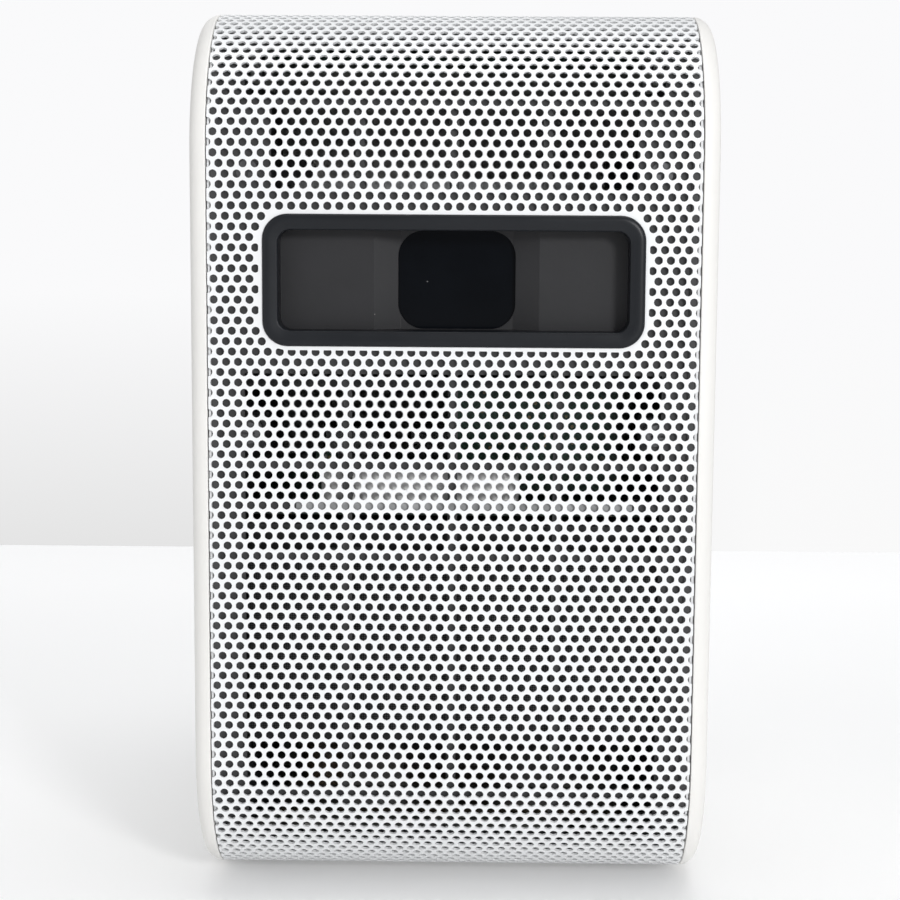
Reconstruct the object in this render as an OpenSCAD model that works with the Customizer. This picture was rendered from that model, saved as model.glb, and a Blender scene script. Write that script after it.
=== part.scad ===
// Upright home projector: a perforated steel front that wraps over the top and bottom edges,
// two domed side panels, and the optics, electronics, fans and speakers that the case holds.
// X runs across the front, Y from front to back, Z up. The origin is on the table, under the
// middle of the body.

/* [Body] */
// Width of the band between the two side panels
band_w = 102.6; // [98:0.2:126]
// Depth of the body, front face to rear face
body_d = 116; // [114:1:142]
// Height of the body without its feet
body_h = 191; // [188:1:232]
// Radius of the four long corners of the side outline
corner_r = 31; // [27:0.5:34]
// Wall of the moulded covers
wall = 2.2; // [1.8:0.1:2.6]
// How far a side panel stands out past the seam
panel_bulge = 5.2; // [4.8:0.1:8]
// Radius of the rounded rim of a side panel
rim_r = 3.7; // [3:0.1:4.5]
// Gap of the seams between covers
seam = 0.25; // [0.15:0.05:0.4]
// Height of the rubber feet below the body
foot_h = 1.5; // [1:0.1:3]
// Radius of a rubber foot
foot_r = 5; // [4:0.5:7]

/* [Front] */
// Thickness of the perforated steel sheet
sheet_t = 0.8; // [0.6:0.1:1]
// Gap between the steel sheet and the frame behind it
sheet_gap = 0.3; // [0.2:0.1:0.6]
// Thickness of the ribbed frame behind the sheet
frame_t = 2; // [1.6:0.1:2.6]
// Width of a rib of that frame
rib_w = 2; // [1.6:0.1:3]
// Width of the window bezel over its lip
window_w = 79.7; // [70:0.1:84]
// Height of the window bezel over its lip
window_h = 27.5; // [26:0.1:30]
// Height of the window's centre above the body's underside
window_z = 133.95; // [132:0.05:137]
// How far the lip of the bezel stands proud of the sheet
lip_t = 0.8; // [0.5:0.1:1.2]
// Width of the lip that rests on the sheet
lip_w = 1; // [0.8:0.1:1.4]
// Thickness of the bezel wall
bezel_wall = 2.3; // [1.8:0.1:2.6]
// Depth of the recess inside the bezel
recess_d = 5.5; // [5:0.1:6]
// Width of the port that the lens looks out of
port_w = 24.8; // [24:0.1:27]
// Height of that port
port_h = 20.8; // [19:0.1:21]
// How far the port sits to the right of the middle
port_x = 0.6; // [0:0.1:1]

/* [Optics] */
// Outer radius of the lens barrel
barrel_r = 15; // [14:0.5:16]
// Radial running clearance of the sliding and turning lens parts
run_gap = 0.05; // [0.02:0.01:0.1]
// Focus travel of the lens carrier each way
focus_travel = 1.2; // [0.8:0.1:1.4]
// Turn of the focus ring each way, in degrees
focus_turn = 30; // [25:1:40]
// Teeth of the focus ring
ring_teeth = 48; // [48:2:50]
// Teeth of the focus pinion
pinion_teeth = 12; // [12:1:14]

/* [Cooling and sound] */
// Side of a square fan
fan_size = 40; // [36:1:44]
// Thickness of a fan
fan_t = 10; // [9:0.5:11]
// Blades of a fan rotor
fan_blades = 7; // [5:1:9]
// Radius of a speaker's flange
speaker_r = 20; // [18:0.5:21]

/* [Controls] */
// Radius of a key
key_r = 6.5; // [5.5:0.1:7]
// Distance between neighbouring keys
key_pitch = 18; // [17:0.5:20]
// Travel of a key
key_travel = 0.6; // [0.4:0.1:0.7]

/* [Hidden] */
$fn = 64;
front_y = -body_d / 2;
rear_y = body_d / 2;
half_w = band_w / 2;
mid_z = foot_h + body_h / 2;
top_z = foot_h + body_h;
arc_y = body_d / 2 - corner_r;
far = 400;
fit = 0.1;

frame_in = sheet_t + sheet_gap;
frame_back_y = front_y + frame_in + frame_t;
frame_x = half_w - 1.2;
lens_z = foot_h + window_z;
bezel_w = window_w - 2 * lip_w;
bezel_h = window_h - 2 * lip_w;
bezel_r = 3.6;
recess_w = bezel_w - 2 * bezel_wall;
recess_h = bezel_h - 2 * bezel_wall;
tray_y = front_y + recess_d;
tray_t = 3.5;
port_r = 5.4;
flare_w = 5;
flare_d = 2.5;
glass_y = tray_y + tray_t;
glass_t = 1.2;

rib_reach = 1;
rib_t = 1.2;
plate_in = half_w - 4.6;
plate_t = 1.5;
plate_inset = 5;
post_y = 30;
post_low_z = foot_h + 55;
post_high_z = top_z - 45;
post_r = 2.5;
screw_r = 1.5;
head_r = 2.75;
head_t = 1.8;
screw_l = 7;
screw_x = plate_in - 4.6;
tab_in = screw_x - 3.6;
rear_screw_low_z = foot_h + corner_r + 6;
rear_screw_high_z = lens_z + fan_size / 2 + 5;
base_screw_y = 9;
small_screw_r = 1.25;
small_head_r = 2.3;
small_head_t = 1.2;
small_screw_l = 5;
frame_screw_x = plate_in - 3.7;
frame_screw_low_z = lens_z - 32.2;
frame_screw_high_z = lens_z + 22.5;

tray_z = lens_z - 54;
sheet_metal_t = 1.2;
board_post = 2;
board_t = 1.6;
board_z = tray_z + sheet_metal_t + board_post;
board_top = board_z + board_t;
board_x = plate_in - 2.7;
board_front_y = front_y + 10;
board_rear_y = rear_y - 12;
board_screw_y = 38;

engine_y = glass_y + glass_t + 0.5 + 37.5;
engine_d = 40;
engine_left = -14;
engine_right = 32;
engine_lid_t = 1.6;
engine_h = 2 * barrel_r + 3;
engine_wall = 2;
engine_floor = lens_z - engine_h / 2;
shelf_t = 2;
shelf_post = 5;
shelf_z = engine_floor - shelf_post - shelf_t;
led_x = 23.5;
led_r = 5;
led_side = 12;
prism_y = engine_y + 18;
prism_side = 16;
optic_floor = engine_floor + engine_wall;

barrel_wall = 2.5;
barrel_y = glass_y + glass_t + 0.5;
bore_r = barrel_r - barrel_wall;
carrier_r = bore_r - run_gap;
carrier_wall = 2;
carrier_y = barrel_y + 2.3;
carrier_l = 25;
pin_r = 1;
ring_y = barrel_y + 10.3;
ring_w = 6;
pin_y = ring_y + ring_w / 2;
ring_bore_r = barrel_r + run_gap;
gear_module = 0.8;
ring_pitch_r = gear_module * ring_teeth / 2;
pinion_pitch_r = gear_module * pinion_teeth / 2;
pinion_x = -(ring_pitch_r + pinion_pitch_r);
shaft_r = 1;
motor_r = 6;
motor_y = ring_y + ring_w + 3;

sink_y = engine_y + engine_d + board_t;
sink_base_t = 2.2;
sink_d = 11.4;
sink_h = 44;
fin_pitch = 4;
fin_t = 0.8;
sink_left = -(fan_size + 1);
sink_right = 30;
pipe_r = 2.5;
pipe_x = 40;
pipe_bend_r = 8;
pipe_back_y = sink_y + 7;
fan_y = sink_y + sink_d + 0.2;
fan_x = fan_size / 2 + 0.5;
fan_bore_r = fan_size / 2 - 1.5;
fan_hub_r = 9.5;
fan_pin_r = 1;
strut_t = 1.5;

speaker_x = speaker_r + 2;
speaker_box_y = front_y + 7;
speaker_box_d = 37;
speaker_box_x = plate_in - 2.7;
speaker_box_top = tray_z;
speaker_box_h = 2 * speaker_r + 6;
speaker_z = speaker_box_top - speaker_box_h / 2;
cone_r = speaker_r - 4.5;
basket_r = speaker_r - 3;
coil_r = 5;
cloth_t = 0.5;

power_board_z = foot_h + 12.5;
tripod_r = 3.175;
insert_r = 5;
insert_l = 9.5;
foot_x = half_w - 11.3;
foot_y = arc_y - 7;

key_y = 0;
key_board_z = top_z - 9.6;
key_board_x = 1.5 * key_pitch + 14;
key_proud = 0.4;
stem_low_z = top_z - 4.6;
socket_z = board_top;
socket_mouth_y = rear_y - 0.4;
hdmi_x = -27;
usb_x = -5;
audio_x = 13;
dc_x = 29;
jack_z = socket_z + 4.4;
cable_z = board_top + 2.4;
cable_h = 8;
cable_t = 0.3;
cable_left = -28;
cable_right = 14;
cable_y = frame_back_y + 1.3;
cable_back_y = front_y + 18;
cable_bend = 3;

// ---------- shared shapes ----------

// A box between two opposite corners.
module block(low, high) {
    translate(low) cube(high - low);
}

// A cylinder along Y, from y0 to y1, about the axis at x, z.
module rod_y(x, z, y0, y1, r) {
    translate([x, y1, z]) rotate([90, 0, 0]) cylinder(h = y1 - y0, r = r);
}

// A cylinder along Z.
module rod_z(x, y, z0, z1, r) {
    translate([x, y, z0]) cylinder(h = z1 - z0, r = r);
}

// A cylinder along X.
module rod_x(y, z, x0, x1, r) {
    translate([x0, y, z]) rotate([0, 90, 0]) cylinder(h = x1 - x0, r = r);
}

// A flat rounded rectangle about the origin, with true round corners.
module rounded(w, h, r) {
    square([w - 2 * r, h], center = true);
    square([w, h - 2 * r], center = true);
    for (sx = [-1, 1], sy = [-1, 1])
        translate([sx * (w / 2 - r), sy * (h / 2 - r)]) circle(r);
}

// A rounded rectangle facing the front, as deep as y0 to y1.
module rounded_block_y(x, z, w, h, r, y0, y1) {
    translate([x, y1, z]) rotate([90, 0, 0]) linear_extrude(y1 - y0) rounded(w, h, r);
}

// The side outline of the body, drawn in by an inset.
module side_outline(inset) {
    translate([0, mid_z]) rounded(body_d - 2 * inset, body_h - 2 * inset, corner_r - inset);
}

// Lays a flat side outline into the YZ plane and makes it as wide as x0 to x1.
module across(x0, x1) {
    translate([x0, 0, 0]) rotate([90, 0, 90]) linear_extrude(x1 - x0) children();
}

// A band that follows the side outline between two insets.
module band(x0, x1, inset0, inset1) {
    across(x0, x1) difference() {
        side_outline(inset0);
        side_outline(inset1);
    }
}

// The part of its children that lies in front of a plane.
module before(y) {
    intersection() {
        children();
        block([-far, -far, -far], [far, y, far]);
    }
}

// The part of its children that lies behind a plane.
module behind(y) {
    intersection() {
        children();
        block([-far, y, -far], [far, far, far]);
    }
}

// A cross-headed machine screw with its head at the origin and its shank along +Z.
module screw(shank_r, cap_r, cap_t, length) {
    slot_w = shank_r * 0.45;
    difference() {
        union() {
            cylinder(h = cap_t, r = cap_r);
            translate([0, 0, cap_t]) cylinder(h = length, r = shank_r - fit / 2);
        }
        for (turn = [0, 90])
            rotate(turn) translate([-cap_r * 0.6, -slot_w / 2, -1])
                cube([cap_r * 1.2, slot_w, 1 + cap_t * 0.6]);
    }
}

// Height above the table of a point on the body's own height scale.
function at(height) = foot_h + height;

// ---------- front ----------

module front_grille() color("whitesmoke") difference() {
    before(-arc_y - seam / 2) band(-half_w, half_w, 0, sheet_t);
    rounded_block_y(0, lens_z, bezel_w + fit, bezel_h + fit, bezel_r, front_y - 1, front_y + 2);
}

// Opening in the ribbed frame between two heights, in as many columns as the ribs make.
module frame_openings(low, high, half, rib_x) {
    edges = concat([-half - rib_w / 2], rib_x, [half + rib_w / 2]);
    for (i = [0 : len(edges) - 2])
        block([edges[i] + rib_w / 2, front_y - 1, low], [edges[i + 1] - rib_w / 2, -arc_y - 4, high]);
}

module grille_frame() color("gainsboro") {
    side = frame_screw_x + 0.8;
    lower_ribs = [-22.2, 0, 22.2];
    upper_ribs = [-19.4, 0, 19.4];
    window_low = lens_z - window_h / 2;
    window_high = lens_z + window_h / 2;
    difference() {
        union() {
            difference() {
                before(-arc_y - 1) band(-frame_x, frame_x, frame_in, frame_in + frame_t);
                frame_openings(window_high + 4.5, top_z - 20.9, side - 5.8, upper_ribs);
                frame_openings(top_z - 18.9, top_z - 8.6, side, []);
                frame_openings(window_low - 24, window_low - 5.8, side, lower_ribs);
                frame_openings(window_low - 32.7, window_low - 26, side, lower_ribs);
                frame_openings(window_low - 43.5, window_low - 34.7, side, lower_ribs);
                frame_openings(at(24.8), window_low - 45.5, side, lower_ribs);
                frame_openings(at(13.2), at(22.8), side, lower_ribs);
            }
            for (s = [-1, 1])
                rod_y(s * frame_screw_x, frame_screw_low_z, front_y + frame_in, frame_back_y, 3.2);
        }
        rounded_block_y(0, lens_z, bezel_w + 4 * fit, bezel_h + 4 * fit, bezel_r, front_y, frame_back_y + 1);
        for (s = [-1, 1], z = [frame_screw_low_z, frame_screw_high_z]) {
            rod_y(s * frame_screw_x, z, front_y, frame_back_y + 1, small_screw_r + fit);
            rod_y(s * frame_screw_x, z, front_y, front_y + frame_in + small_head_t, small_head_r + fit);
        }
    }
}

module speaker_cloth() color("dimgray") {
    x = frame_screw_x + 0.5;
    top = lens_z - window_h / 2 - 44.5;
    block([-x, frame_back_y, at(37)], [x, frame_back_y + cloth_t, top]);
}

module window_bezel() color("#2e3136") difference() {
    union() {
        rounded_block_y(0, lens_z, window_w, window_h, bezel_r + lip_w, front_y - lip_t, front_y);
        rounded_block_y(0, lens_z, bezel_w, bezel_h, bezel_r, front_y, tray_y);
    }
    rounded_block_y(0, lens_z, recess_w, recess_h, 2, front_y - lip_t - 1, tray_y + 1);
}

// The recess floor, which slopes in from both sides towards the port.
module window_tray() color("#232527") difference() {
    rounded_block_y(0, lens_z, bezel_w, bezel_h, bezel_r, tray_y, tray_y + tray_t);
    rounded_block_y(port_x, lens_z, port_w, port_h, port_r, tray_y - 1, glass_y + 1);
    translate([port_x, 0, lens_z - recess_h / 2]) linear_extrude(recess_h) polygon([
        [-port_w / 2 - flare_w, tray_y - 0.01],
        [port_w / 2 + flare_w, tray_y - 0.01],
        [port_w / 2 - 0.5, tray_y + flare_d],
        [-port_w / 2 + 0.5, tray_y + flare_d]
    ]);
}

module lens_window() color("#08080a") {
    rounded_block_y(port_x, lens_z, port_w + 4, port_h + 3, port_r, glass_y, glass_y + glass_t);
}

// ---------- case ----------

// Half section of a side panel from its middle to its rim: a slow dome that ends in a round rim.
module panel_section(inset, drop) {
    reach = corner_r - inset;
    rim = rim_r - drop;
    bulge = panel_bulge - drop;
    fall = panel_bulge - rim_r;
    steps = 8;
    dome = [for (i = [0 : steps]) [
        (reach - rim) * i / steps,
        bulge - fall * pow(i / steps, 2)
    ]];
    round_rim = [for (i = [1 : steps]) [
        reach - rim + rim * sin(90 * i / steps),
        (bulge - fall) * cos(90 * i / steps)
    ]];
    polygon(concat([[0, 0]], dome, round_rim));
}

// A pillow whose edge has the given half section, carried round the side outline.
module pillow(inset, drop) {
    run_y = body_d - 2 * corner_r;
    run_z = body_h - 2 * corner_r;
    bulge = panel_bulge - drop;
    translate([0, 0, mid_z]) rotate([90, 0, 90]) {
        translate([-run_y / 2, -run_z / 2, 0]) cube([run_y, run_z, bulge]);
        for (q = [0 : 3]) {
            cx = (q == 0 || q == 3 ? 1 : -1) * run_y / 2;
            cy = (q < 2 ? 1 : -1) * run_z / 2;
            run = q % 2 == 0 ? run_z : run_y;
            translate([cx, cy, 0]) rotate(90 * q) {
                rotate_extrude(angle = 90) panel_section(inset, drop);
                rotate([90, 0, 0]) linear_extrude(run) panel_section(inset, drop);
            }
        }
    }
}

// Right side panel; the left one is its mirror image.
module side_panel() {
    edge = half_w + seam;
    difference() {
        translate([edge, 0, 0]) pillow(0, 0);
        translate([edge - 0.01, 0, 0]) pillow(wall, wall - 0.2);
    }
    roof = edge + panel_bulge - wall / 2;
    before(-arc_y - 1) band(half_w - rib_reach, edge + 0.1, frame_in, frame_in + rib_t);
    behind(-arc_y - 1) band(half_w - rib_reach, edge + 0.1, wall + 0.2, wall + 0.2 + rib_t);
    behind(-arc_y - 1) band(edge, edge + 1, wall - 0.5, wall + 0.2 + rib_t);
    for (y = [-post_y, post_y], z = [post_low_z, post_high_z]) {
        rod_x(y, z, plate_in, roof, post_r);
        rod_x(y, z, plate_in + plate_t, roof, post_r + 1.2);
    }
}

module right_side_panel() color("white") side_panel();
module left_side_panel() color("white") mirror([1, 0, 0]) side_panel();

module top_cover() color("white") {
    y = arc_y - seam / 2;
    low = top_z - wall;
    difference() {
        block([-half_w, -y, low], [half_w, y, top_z]);
        for (i = [0 : 3]) rod_z(key_x(i), key_y, low - 1, top_z + 1, key_r + 2 * fit);
        rod_z(0, key_y - 14, low - 1, top_z + 1, 1.5 + fit);
    }
    for (s = [-1, 1]) {
        rod_z(s * (key_board_x - 4), key_y, key_board_z + board_t, low, 2.2);
        for (t = [-1, 1])
            block([s * plate_in - (s + 1), t * 15 - 3, top_z - 14], [s * plate_in + 1 - s, t * 15 + 3, low]);
    }
}

module base_cover() color("white") difference() {
    y = arc_y - seam / 2;
    top = foot_h + wall;
    union() {
        block([-half_w, -y, foot_h], [half_w, y, top]);
        rod_z(0, 0, foot_h, foot_h + insert_l + 1.5, insert_r + 2.4);
        for (s = [-1, 1], t = [-1, 1]) {
            rod_z(s * (plate_in - 12), t * (arc_y - 5), foot_h, power_board_z, 3);
            rod_z(s * screw_x, t * base_screw_y, foot_h, foot_h + 6, head_r + 1.6);
        }
    }
    rod_z(0, 0, foot_h - 1, foot_h + insert_l, insert_r);
    for (s = [-1, 1], t = [-1, 1]) {
        rod_z(s * foot_x, t * foot_y, foot_h - 1, foot_h + 1, foot_r);
        rod_z(s * screw_x, t * base_screw_y, foot_h - 1, foot_h + 4.5, head_r + fit);
        rod_z(s * screw_x, t * base_screw_y, foot_h + 4, foot_h + 7, screw_r + fit);
    }
}

// Rows of level air slots in the rear cover.
module louvres(x, z, width, rows) {
    pitch = 4.4;
    for (i = [0 : rows - 1])
        block([x - width / 2, rear_y - wall - 1, z + (i - rows / 2) * pitch + 1],
              [x + width / 2, rear_y + 2, z + (i - rows / 2) * pitch + 3.4]);
}

module rear_cover() color("white") difference() {
    rim_low = socket_z - 3;
    rim_high = socket_z + 13;
    rim_mid = (rim_low + rim_high) / 2;
    union() {
        behind(arc_y + seam / 2) band(-half_w, half_w, 0, wall);
        difference() {
            rounded_block_y(0, rim_mid, 84, rim_high - rim_low, 3, rear_y - 0.5, rear_y + lip_t);
            rounded_block_y(0, rim_mid, 81, rim_high - rim_low - 3, 2, rear_y - 1, rear_y + lip_t + 1);
        }
        for (s = [-1, 1], z = [rear_screw_low_z, rear_screw_high_z])
            rod_y(s * screw_x, z, rear_y - 7, rear_y - 0.5, head_r + 1.6);
    }
    for (s = [-1, 1]) louvres(s * fan_x, lens_z, fan_size - 6, 9);
    louvres(0, foot_h + 52, 68, 7);
    for (s = [-1, 1], z = [rear_screw_low_z, rear_screw_high_z]) {
        rod_y(s * screw_x, z, rear_y - 5.5, rear_y + 1, head_r + fit);
        rod_y(s * screw_x, z, rear_y - 8, rear_y - 5, screw_r + fit);
    }
    rounded_block_y(hdmi_x, socket_z + 3.1, 16.2, 6.8, 0.8, rear_y - wall - 1, rear_y + 1);
    rounded_block_y(usb_x, socket_z + 3.6, 15, 7.8, 0.8, rear_y - wall - 1, rear_y + 1);
    rod_y(audio_x, jack_z, rear_y - wall - 1, rear_y + 1, 3.7);
    rod_y(dc_x, jack_z, rear_y - wall - 1, rear_y + 1, 4.4);
}

module rubber_feet() color("dimgray")
    for (s = [-1, 1], t = [-1, 1])
        rod_z(s * foot_x, t * foot_y, 0, foot_h + 1, foot_r - fit);

module tripod_insert() color("goldenrod") difference() {
    rod_z(0, 0, foot_h, foot_h + insert_l, insert_r - fit / 2);
    rod_z(0, 0, foot_h - 1, foot_h + insert_l - 1, tripod_r);
}

// ---------- keys ----------

function key_x(i) = (i - 1.5) * key_pitch;

module key(i) {
    rod_z(key_x(i), key_y, top_z - wall - 1.2, top_z + key_proud, key_r);
    rod_z(key_x(i), key_y, top_z - wall - 1.4, top_z - wall - 0.2, key_r + 1.1);
    rod_z(key_x(i), key_y, stem_low_z, top_z - wall - 1, 2);
}

module power_button() color("lightgray") key(0);
module volume_down_button() color("lightgray") key(1);
module volume_up_button() color("lightgray") key(2);
module menu_button() color("lightgray") key(3);

module status_light_pipe() color("#dfe8ee") {
    rod_z(0, key_y - 14, key_board_z + board_t, top_z, 1.5);
    rod_z(0, key_y - 14, key_board_z + board_t, top_z - wall - 0.2, 2.4);
}

// Board of the keys, with a tact switch under each one.
module key_board() color("#2c5a3c") {
    block([-key_board_x, key_y - 18, key_board_z], [key_board_x, key_y + 9, key_board_z + board_t]);
    for (i = [0 : 3])
        block([key_x(i) - 3, key_y - 3, key_board_z + board_t - 0.1],
              [key_x(i) + 3, key_y + 3, stem_low_z - key_travel - 0.2]);
}

// ---------- chassis ----------

// Right chassis plate with its screw tabs; the left one is its mirror image.
module chassis_plate() {
    difference() {
        across(plate_in, plate_in + plate_t) side_outline(plate_inset);
        for (y = [-post_y, post_y], z = [post_low_z, post_high_z])
            rod_x(y, z, plate_in - 1, plate_in + plate_t + 1, post_r + fit);
        for (z = [at(30), at(62)])
            translate([plate_in - 1, 0, z]) rotate([90, 0, 90])
                linear_extrude(plate_t + 2) rounded(44, 26, 6);
    }
    for (z = [frame_screw_low_z, frame_screw_high_z]) difference() {
        block([plate_in - 7, frame_back_y, z - 3.5], [plate_in + 0.1, frame_back_y + 8, z + 3.5]);
        rod_y(frame_screw_x, z, frame_back_y - 1, frame_back_y + 6, small_screw_r);
    }
    for (z = [rear_screw_low_z, rear_screw_high_z]) difference() {
        block([tab_in, rear_y - 10, z - 4], [plate_in + 0.1, rear_y - 7, z + 4]);
        rod_y(screw_x, z, rear_y - 11, rear_y - 6, screw_r);
    }
    for (y = [-base_screw_y, base_screw_y]) difference() {
        block([tab_in, y - 4, foot_h + 6], [plate_in + 0.1, y + 4, foot_h + 9]);
        rod_z(screw_x, y, foot_h + 5, foot_h + 10, screw_r);
    }
}

module right_chassis_plate() color("silver") chassis_plate();
module left_chassis_plate() color("silver") mirror([1, 0, 0]) chassis_plate();

module board_tray() color("silver") {
    difference() {
        block([-plate_in, board_front_y - 1, tray_z], [plate_in, rear_y - 11, tray_z + sheet_metal_t]);
        block([-24, -20, tray_z - 1], [24, 20, tray_z + 2]);
    }
    for (s = [-1, 1], t = [-1, 1]) difference() {
        rod_z(s * (board_x - 4), t * board_screw_y, tray_z + sheet_metal_t - 0.1, board_z, 2.6);
        rod_z(s * (board_x - 4), t * board_screw_y, tray_z, board_z + 1, small_screw_r);
    }
}

module engine_shelf() color("silver") {
    low = shelf_z;
    y0 = front_y + 14;
    difference() {
        block([-plate_in, y0, low], [plate_in, engine_y + engine_d, low + shelf_t]);
        block([-plate_in + 6, y0 + 6, low - 1],
              [engine_left - 4, engine_y + engine_d - 6, low + shelf_t + 1]);
    }
    for (x = [engine_left + 5, engine_right - 5], y = [engine_y + 5, engine_y + engine_d - 5])
        rod_z(x, y, low + shelf_t - 0.1, engine_floor, 3);
}

// ---------- electronics ----------

module main_board() color("#1f5c3a") {
    difference() {
        block([-board_x, board_front_y, board_z], [board_x, board_rear_y, board_top]);
        for (s = [-1, 1], t = [-1, 1])
            rod_z(s * (board_x - 4), t * board_screw_y, board_z - 1, board_top + 1, small_screw_r + fit);
    }
    block([-18, -14, board_top - 0.1], [14, 18, board_top + 4]);
    difference() {
        block([cable_left - 2.2, cable_back_y, board_top - 0.1],
              [cable_left + 2.2, cable_back_y + 4, cable_z + cable_h + 0.6]);
        block([cable_left - 0.3, cable_back_y - 1, cable_z - 0.1],
              [cable_left + 0.3, cable_back_y + 2, cable_z + cable_h + 0.1]);
    }
}

// Board that drives the lamps and the focus motor; it hangs under the engine shelf.
module driver_board() color("#1f5c3a") {
    y = cable_back_y + 4;
    block([0, y, cable_z - 1], [36, y + board_t, shelf_z]);
    difference() {
        block([cable_right - 2.2, y - 4, cable_z - 0.6],
              [cable_right + 2.2, y + 0.1, cable_z + cable_h + 0.6]);
        block([cable_right - 0.3, y - 5, cable_z - 0.1],
              [cable_right + 0.3, y - 2, cable_z + cable_h + 0.1]);
    }
}

// Quarter bend of the flat cable, seen from above.
module cable_corner(x, turn) {
    translate([x, cable_y + cable_bend]) rotate(turn) intersection() {
        difference() {
            circle(cable_bend + cable_t / 2);
            circle(cable_bend - cable_t / 2);
        }
        square(cable_bend * 2);
    }
}

// A flat white cable that comes forward, runs level behind the ribbed frame and goes back.
module flat_cable() color("white") {
    leg = cable_back_y + 1.8 - cable_y - cable_bend;
    half = cable_t / 2;
    translate([0, 0, cable_z]) linear_extrude(cable_h) {
        for (x = [cable_left, cable_right])
            translate([x - half, cable_y + cable_bend]) square([cable_t, leg]);
        cable_corner(cable_left + cable_bend, 180);
        cable_corner(cable_right - cable_bend, 270);
        translate([cable_left + cable_bend, cable_y - half])
            square([cable_right - cable_left - 2 * cable_bend, cable_t]);
    }
}

// A metal shell with a square mouth at the rear and a contact tongue inside.
module socket_shell(x, w, h, inner_w, inner_h, depth, tongue_w, tongue_t, tongue_up) {
    z = socket_z + h / 2;
    difference() {
        block([x - w / 2, socket_mouth_y - depth, socket_z], [x + w / 2, socket_mouth_y, socket_z + h]);
        block([x - inner_w / 2, socket_mouth_y - depth + 1.5, z - inner_h / 2],
              [x + inner_w / 2, socket_mouth_y + 1, z + inner_h / 2]);
    }
    block([x - tongue_w / 2, socket_mouth_y - depth + 1, z + tongue_up - tongue_t / 2],
          [x + tongue_w / 2, socket_mouth_y - 1.5, z + tongue_up + tongue_t / 2]);
}

module hdmi_socket() color("silver") socket_shell(hdmi_x, 15.4, 6.2, 14.2, 4.6, 13, 11.2, 0.8, 0);
module usb_socket() color("silver") socket_shell(usb_x, 14, 7.2, 12.6, 5.4, 14, 11, 1.8, 1);

module audio_jack() color("#202020") difference() {
    union() {
        block([audio_x - 4, rear_y - 15, socket_z], [audio_x + 4, rear_y - 3, socket_z + 8]);
        rod_y(audio_x, jack_z, rear_y - 3.1, rear_y - 0.5, 3.4);
    }
    rod_y(audio_x, jack_z, rear_y - 12.5, rear_y, 1.75);
}

module dc_inlet() color("#202020") {
    difference() {
        union() {
            block([dc_x - 4.8, rear_y - 16, socket_z], [dc_x + 4.8, rear_y - 3, socket_z + 9.5]);
            rod_y(dc_x, jack_z, rear_y - 3.1, rear_y - 0.5, 4.1);
        }
        rod_y(dc_x, jack_z, rear_y - 4.5, rear_y, 2.85);
        rod_y(dc_x, jack_z, rear_y - 13, rear_y - 4, 2.6);
    }
    rod_y(dc_x, jack_z, rear_y - 13.1, rear_y - 5, 0.8);
}

module power_board() color("#8a6a2f") {
    y = arc_y + 8;
    block([-plate_in + 8, -y, power_board_z], [plate_in - 8, y, power_board_z + board_t]);
    for (i = [0 : 2])
        rod_z(-plate_in + 16, -16 + 14 * i, power_board_z + board_t - 0.1, power_board_z + 14, 5);
}

module power_transformer() color("#c9a227") {
    low = power_board_z + board_t;
    block([-12, -4, low], [12, 0, low + 18]);
    block([-12, 20, low], [12, 24, low + 18]);
    rod_y(0, low + 9, -1, 21, 8.5);
}

// ---------- cooling ----------

module heat_sink() color("#b9bcc0") difference() {
    union() {
        block([sink_left, sink_y, lens_z - sink_h / 2],
              [sink_right, sink_y + sink_base_t, lens_z + sink_h / 2]);
        for (x = [sink_left : fin_pitch : sink_right - fin_t])
            block([x, sink_y + sink_base_t - 0.1, lens_z - sink_h / 2],
                  [x + fin_t, sink_y + sink_d, lens_z + sink_h / 2]);
    }
    rod_x(pipe_back_y, lens_z, sink_left - 1, sink_right + 1, pipe_r + fit / 2);
}

// Copper pipe from the green lamp's pad, round a bend and through the fins.
module heat_pipe() color("#b87333") {
    bend_y = pipe_back_y - pipe_bend_r;
    rod_y(pipe_x, lens_z, engine_y + 6, bend_y, pipe_r);
    translate([pipe_x - pipe_bend_r, bend_y, lens_z])
        rotate_extrude(angle = 90) translate([pipe_bend_r, 0]) circle(pipe_r);
    rod_x(pipe_back_y, lens_z, sink_left + 2, pipe_x - pipe_bend_r, pipe_r);
    block([engine_right + board_t, prism_y - 6, lens_z - 6], [pipe_x, prism_y + 6, lens_z + 6]);
}

module fan_frame(x) {
    y1 = fan_y + fan_t;
    difference() {
        rounded_block_y(x, lens_z, fan_size, fan_size, 2, fan_y, y1);
        rod_y(x, lens_z, fan_y - 1, y1 + 1, fan_bore_r);
    }
    rod_y(x, lens_z, y1 - strut_t, y1, fan_hub_r);
    rod_y(x, lens_z, fan_y + 2, y1 - strut_t + 0.1, fan_pin_r);
    for (turn = [30, 150, 270])
        translate([x, 0, lens_z]) rotate([0, turn, 0])
            block([0, y1 - strut_t, -1.2], [fan_bore_r + 0.3, y1, 1.2]);
}

module fan_rotor(x) {
    y0 = fan_y + 0.8;
    y1 = fan_y + fan_t - strut_t - 0.5;
    difference() {
        union() {
            rod_y(x, lens_z, y0, y1, fan_hub_r);
            intersection() {
                rod_y(x, lens_z, y0 + 0.2, y1 - 0.2, fan_bore_r - 0.6);
                for (i = [0 : fan_blades - 1])
                    translate([x, (y0 + y1) / 2, lens_z]) rotate([0, i * 360 / fan_blades, 0])
                        rotate([38, 0, 0]) translate([fan_hub_r - 1, -0.5, -far / 40])
                            cube([fan_bore_r - fan_hub_r + 2, 1, far / 20]);
            }
        }
        rod_y(x, lens_z, y0 - 1, y1 + 1, fan_pin_r + run_gap);
    }
}

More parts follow.
